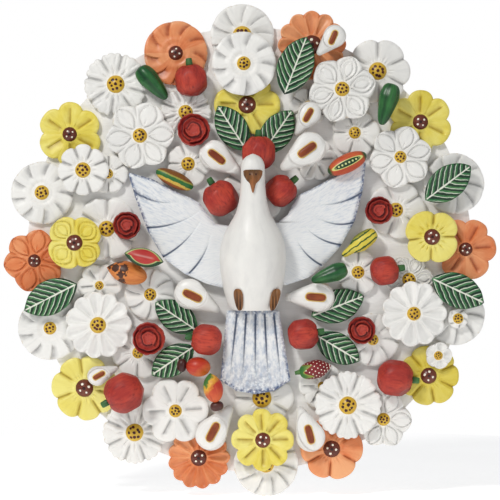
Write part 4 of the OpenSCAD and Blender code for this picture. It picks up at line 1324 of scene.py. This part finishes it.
# The body's half widths along its axis, from the tail's end to the crown
BODY = [(-78, 0), (-77, 14), (-74, 24), (-70, 30.5), (-50, 36), (-30, 39.5), (-10, 41), (5, 39.5), (17, 36),
        (30, 29), (44, 21), (58, 17), (69, 15.7), (80, 14.6), (92, 14.6), (103, 14.3), (110, 11.5),
        (114, 7.5), (116.5, 0)]


def dove_body():
    """A turned body that leans forward at the head, fitted to its CAD node."""
    part = parts("dove_body")[0]
    low_y, high_y = part.low[1], part.high[1]
    stations = np.array([b[0] for b in BODY], float)
    halves = np.array([b[1] for b in BODY], float)
    scale = part.size[0] / 82.0
    lean = math.radians(11)
    y = np.concatenate([np.linspace(-77.6, -70, 8), np.linspace(-68, 100, 70), np.linspace(102, 116.2, 14)])
    half = np.interp(y, stations, halves)
    for _ in range(6):
        inner = (half[:-2] + 2 * half[1:-1] + half[2:]) / 4
        half[1:-1] = np.minimum(inner, half[1:-1] + 0.05)
    half = half * SNUG * scale
    y = y * scale
    phi = circle(72)
    mid_x = part.mid[0]
    axis_h = part.seat + 15 * scale
    px = mid_x + half[:, None] * np.cos(phi)
    out = half[:, None] * np.sin(phi)
    py = y[:, None] * math.cos(lean) - out * math.sin(lean)
    ph = axis_h + y[:, None] * math.sin(lean) + out * math.cos(lean)
    ph = np.clip(ph, part.seat + 0.02, part.high[2] - 0.1)
    py = np.clip(py, low_y + 0.1, high_y - 0.1)
    rings = np.stack([px, py, ph], -1)

    def end_point(k):
        return (mid_x, float(np.clip(y[k] * math.cos(lean), low_y + 0.1, high_y - 0.1)),
                max(axis_h + y[k] * math.sin(lean), part.seat + 0.02))

    shape = Shape()
    shape.grid(rings, end_point(0), end_point(-1),
               flow=np.stack([np.cos(phi) * 3 + 0 * px, np.sin(phi) * 3 + 0 * px, py * 0.03], -1))
    shape.build("dove_body_carved", "dove_body", [dove_white], "dove_paint")
    return part


dove = dove_body()


def skin(x, y, otherwise):
    """Height of the dove's front at a place in the plan."""
    hit = dove.tree.ray_cast(Vector((x, y, dove.high[2] + 30)), Vector((0, 0, -1)))[0]
    return hit[2] if hit else otherwise


def beak():
    """A mask over the face with two nostril dots, and the beak's ridge that points down and out."""
    part = parts("dove_beak")[0]
    outline = [(0.14, 0.99), (0.0, 0.95), (0.02, 0.76), (0.15, 0.56), (0.35, 0.40), (0.45, 0.06), (0.5, 0.0),
               (0.55, 0.06), (0.65, 0.40), (0.85, 0.56), (0.98, 0.76), (1.0, 0.95), (0.86, 0.99)]
    corners = np.array([part.low[:2] + part.size[:2] * np.array(c) for c in outline])
    centre = part.low[:2] + part.size[:2] * np.array((0.5, 0.66))
    sides = zip(corners, np.roll(corners, -1, 0))
    rim = np.concatenate([np.linspace(p, q, 12, endpoint=False) for p, q in sides])
    for _ in range(6):
        rim = (np.roll(rim, 1, 0) + 2 * rim + np.roll(rim, -1, 0)) / 4
    us = shares(0.06, 0.9, 18, 0.96, 1.0)
    flat = centre + us[..., None] * (rim - centre)
    w, tall = part.size[:2]
    base = np.array([[skin(x, y, part.seat) for x, y in ring] for ring in flat])
    side = np.abs(flat[..., 0] - centre[0]) / w
    down = (part.high[1] - flat[..., 1]) / tall
    ridge = unit(1 - side / (0.30 - 0.17 * down)) ** 0.8 * unit(down * 1.9 - 0.2)
    lift = 1.1 * (1 - (us > 0.93) * 0.6) + 6.5 * ridge * np.clip(1.25 - down, 0.35, 1)
    top = np.minimum(base + lift, part.high[2] - 0.1)
    rings = np.concatenate([np.concatenate([flat, top[..., None]], -1),
                            np.concatenate([flat[-1], base[-1][:, None] - 0.8], -1)[None]])
    shape = Shape()
    shape.grid(rings, (centre[0], centre[1], top[0].mean()), (centre[0], centre[1], base.min() - 1),
               light=np.concatenate([ridge, ridge[-1:]]) * 0.9, flow=rings * np.array([0.7, 0.1, 0.3]))
    spots = []
    for way in (-1, 1):
        x, y = centre[0] + way * w * 0.15, part.high[1] - 0.20 * tall
        spots.append(((x, y, skin(x, y, part.seat) + 1.6), (way * 0.3, 0.1, 1), 1.35))
    blobs(shape, spots, 1)
    shape.build("dove_beak_carved", "dove_beak", [beak_brown, dark_dots], "beak_paint")


beak()


def foot(name, part, lean):
    """A long claw, wider at the top, with grooves down its front."""
    w, l = part.size[0] * 0.97, part.size[1] * 0.97
    theta = circle(60)
    c, s = np.cos(theta), np.sin(theta)
    rows, cuts = [], []
    for u in list(np.linspace(0.1, 0.86, 12)) + [0.93, 0.98, 1.0]:
        x = np.sign(c) * np.abs(c) ** 0.75 * w / 2 * u
        y = np.sign(s) * np.abs(s) ** 0.8 * l / 2 * u
        x = x * (0.84 + 0.4 * (y / l)) + math.tan(math.radians(lean)) * y
        x = np.clip(x, -w / 2 - 2, w / 2 + 2)
        groove = np.maximum(vee(x - w * 0.14, 1.3, 1.6), vee(x + w * 0.16, 1.3, 1.6)) * unit(0.7 - y / l)
        body = np.array([skin(part.mid[0] + a, part.mid[1] + b, part.seat) for a, b in zip(x, y)]) - part.seat
        h = np.maximum(body + 1.0, part.tall * 0.72) + 2.6 * (1 - u ** 2.4) - groove
        rows.append(np.stack([x, y, h], -1))
        cuts.append(groove)
    rings = np.array(rows + [rows[-1] - [0, 0, 4]])
    cuts = np.array(cuts + [cuts[-1]])
    shape = Shape()
    # The grooves take the paint's darkest colour: painted shade in them.
    shape.grid(rings, (0, 0, rings[0, :, 2].mean()), (0, 0, rings[-1, :, 2].min()), hollow=unit(cuts),
               flow=rings * np.array([0.8, 0.06, 0.1]) + rng.uniform(0, 9))
    shape.build(name, "dove_feet", [foot_brown], "beak_paint", part.at)


for i, part in enumerate(sorted(parts("dove_feet"), key=lambda p: p.mid[0])):
    foot(("dove_foot_left", "dove_foot_right")[i], part, (-6, 13)[i])


# ---------------------------------------------------------------- board, risers, hanger
def board_paint():
    """Thin pale wash over wood: grain shows through, dusty in the gaps."""
    p = Paint("board_wash")
    grain = p.noise(9, 5, stretch=(1.0, 1.0, 9.0), rough=0.6)
    fine = p.noise(60, 4, stretch=(1.0, 1.0, 14.0), rough=0.6)
    colour = p.mix(p.span(grain, 0.35, 0.7), (246, 245, 243), (234, 233, 230))
    colour = p.mix(p.span(fine, 0.5, 0.75, 0, 0.3), colour, (214, 212, 208))
    colour = p.mix(p.span(p.noise(24, 4), 0.66, 0.78, 0, 0.4), colour, (196, 180, 156))
    return p.finish(colour, 0.62, 0.4, streak=fine)


def bare_wood():
    """Unpainted wood of the blocks that nobody sees."""
    p = Paint("bare_wood_blocks")
    grain = p.noise(40, 4, stretch=(1.0, 1.0, 10.0))
    colour = p.mix(p.span(grain, 0.35, 0.7), (206, 172, 124), (172, 132, 86))
    return p.finish(colour, 0.7, 0.4, streak=grain)


def steel():
    """Scratched steel with a little rust."""
    p = Paint("hanger_steel")
    scratch = p.noise(70, 4, stretch=(1.0, 1.0, 0.1))
    colour = p.mix(p.span(scratch, 0.35, 0.7), (176, 176, 174), (140, 138, 134))
    colour = p.mix(p.span(p.noise(180, 4), 0.62, 0.72, 0, 0.6), colour, (124, 92, 66))
    return p.finish(colour, 0.36, 0.2, streak=scratch, metal=0.9)


metal = steel()
for node, look in (("back_board", board_paint()), ("riser_blocks", bare_wood()), ("hanger_strap", metal),
                   ("hanger_ring", metal), ("hanger_screws", metal)):
    mesh = frame["nodes"][node].data
    mesh.materials.clear()
    mesh.materials.append(look)


# ---------------------------------------------------------------- floor, light, camera
low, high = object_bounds()
floor_mesh = bpy.data.meshes.new("floor")
ring = [(0.9 * math.cos(2 * PI * i / 64), 0.9 * math.sin(2 * PI * i / 64), low.z - 0.0005) for i in range(64)]
floor_mesh.from_pydata(ring, [], [list(range(64))])
floor = bpy.data.objects.new("floor", floor_mesh)
scene.collection.objects.link(floor)
ground = Paint("pale_floor")
pale = ground.mix(ground.span(ground.noise(6, 2), 0.3, 0.7), (0.9, 0.9, 0.9, 1), (0.94, 0.94, 0.94, 1))
floor_mesh.materials.append(ground.finish(pale, 0.8, 0.02))
ground.shader.inputs["Emission Color"].default_value = (1, 1, 1, 1)
ground.shader.inputs["Emission Strength"].default_value = 0.55

sky = bpy.data.worlds.new("studio")
scene.world = sky
sky.use_nodes = True
nodes, links = sky.node_tree.nodes, sky.node_tree.links
seen = nodes.new("ShaderNodeBackground")
seen.inputs["Color"].default_value = (1, 1, 1, 1)
seen.inputs["Strength"].default_value = 1.0
fill = nodes["Background"]
fill.inputs["Color"].default_value = (0.97, 0.98, 1.0, 1)
fill.inputs["Strength"].default_value = 0.38
path, both = nodes.new("ShaderNodeLightPath"), nodes.new("ShaderNodeMixShader")
links.new(path.outputs["Is Camera Ray"], both.inputs[0])
links.new(fill.outputs[0], both.inputs[1])
links.new(seen.outputs[0], both.inputs[2])
links.new(both.outputs[0], nodes["World Output"].inputs["Surface"])


def lamp(name, place, size, power, tint=(1, 1, 1)):
    """A square soft lamp that points at the middle of the wreath."""
    data = bpy.data.lights.new(name, "AREA")
    data.shape = "SQUARE"
    data.size, data.energy, data.color = size, power, tint
    obj = bpy.data.objects.new(name, data)
    obj.location = place
    obj.rotation_euler = (-Vector(place)).to_track_quat("-Z", "Y").to_euler()
    scene.collection.objects.link(obj)


lamp("key", (-0.95, -1.6, 1.35), 0.38, 26, (1, 0.985, 0.96))
lamp("fill", (1.4, -1.8, 0.2), 1.2, 4)

scene.view_settings.view_transform = "Standard"
camera = bpy.data.cameras.new("camera")
camera.lens = 150
camera.clip_end = 20
eye = bpy.data.objects.new("camera", camera)
mid = (low + high) / 2
eye.location = (mid.x, -2.56, mid.z)
eye.rotation_euler = (PI / 2, 0, 0)
scene.collection.objects.link(eye)
scene.camera = eye
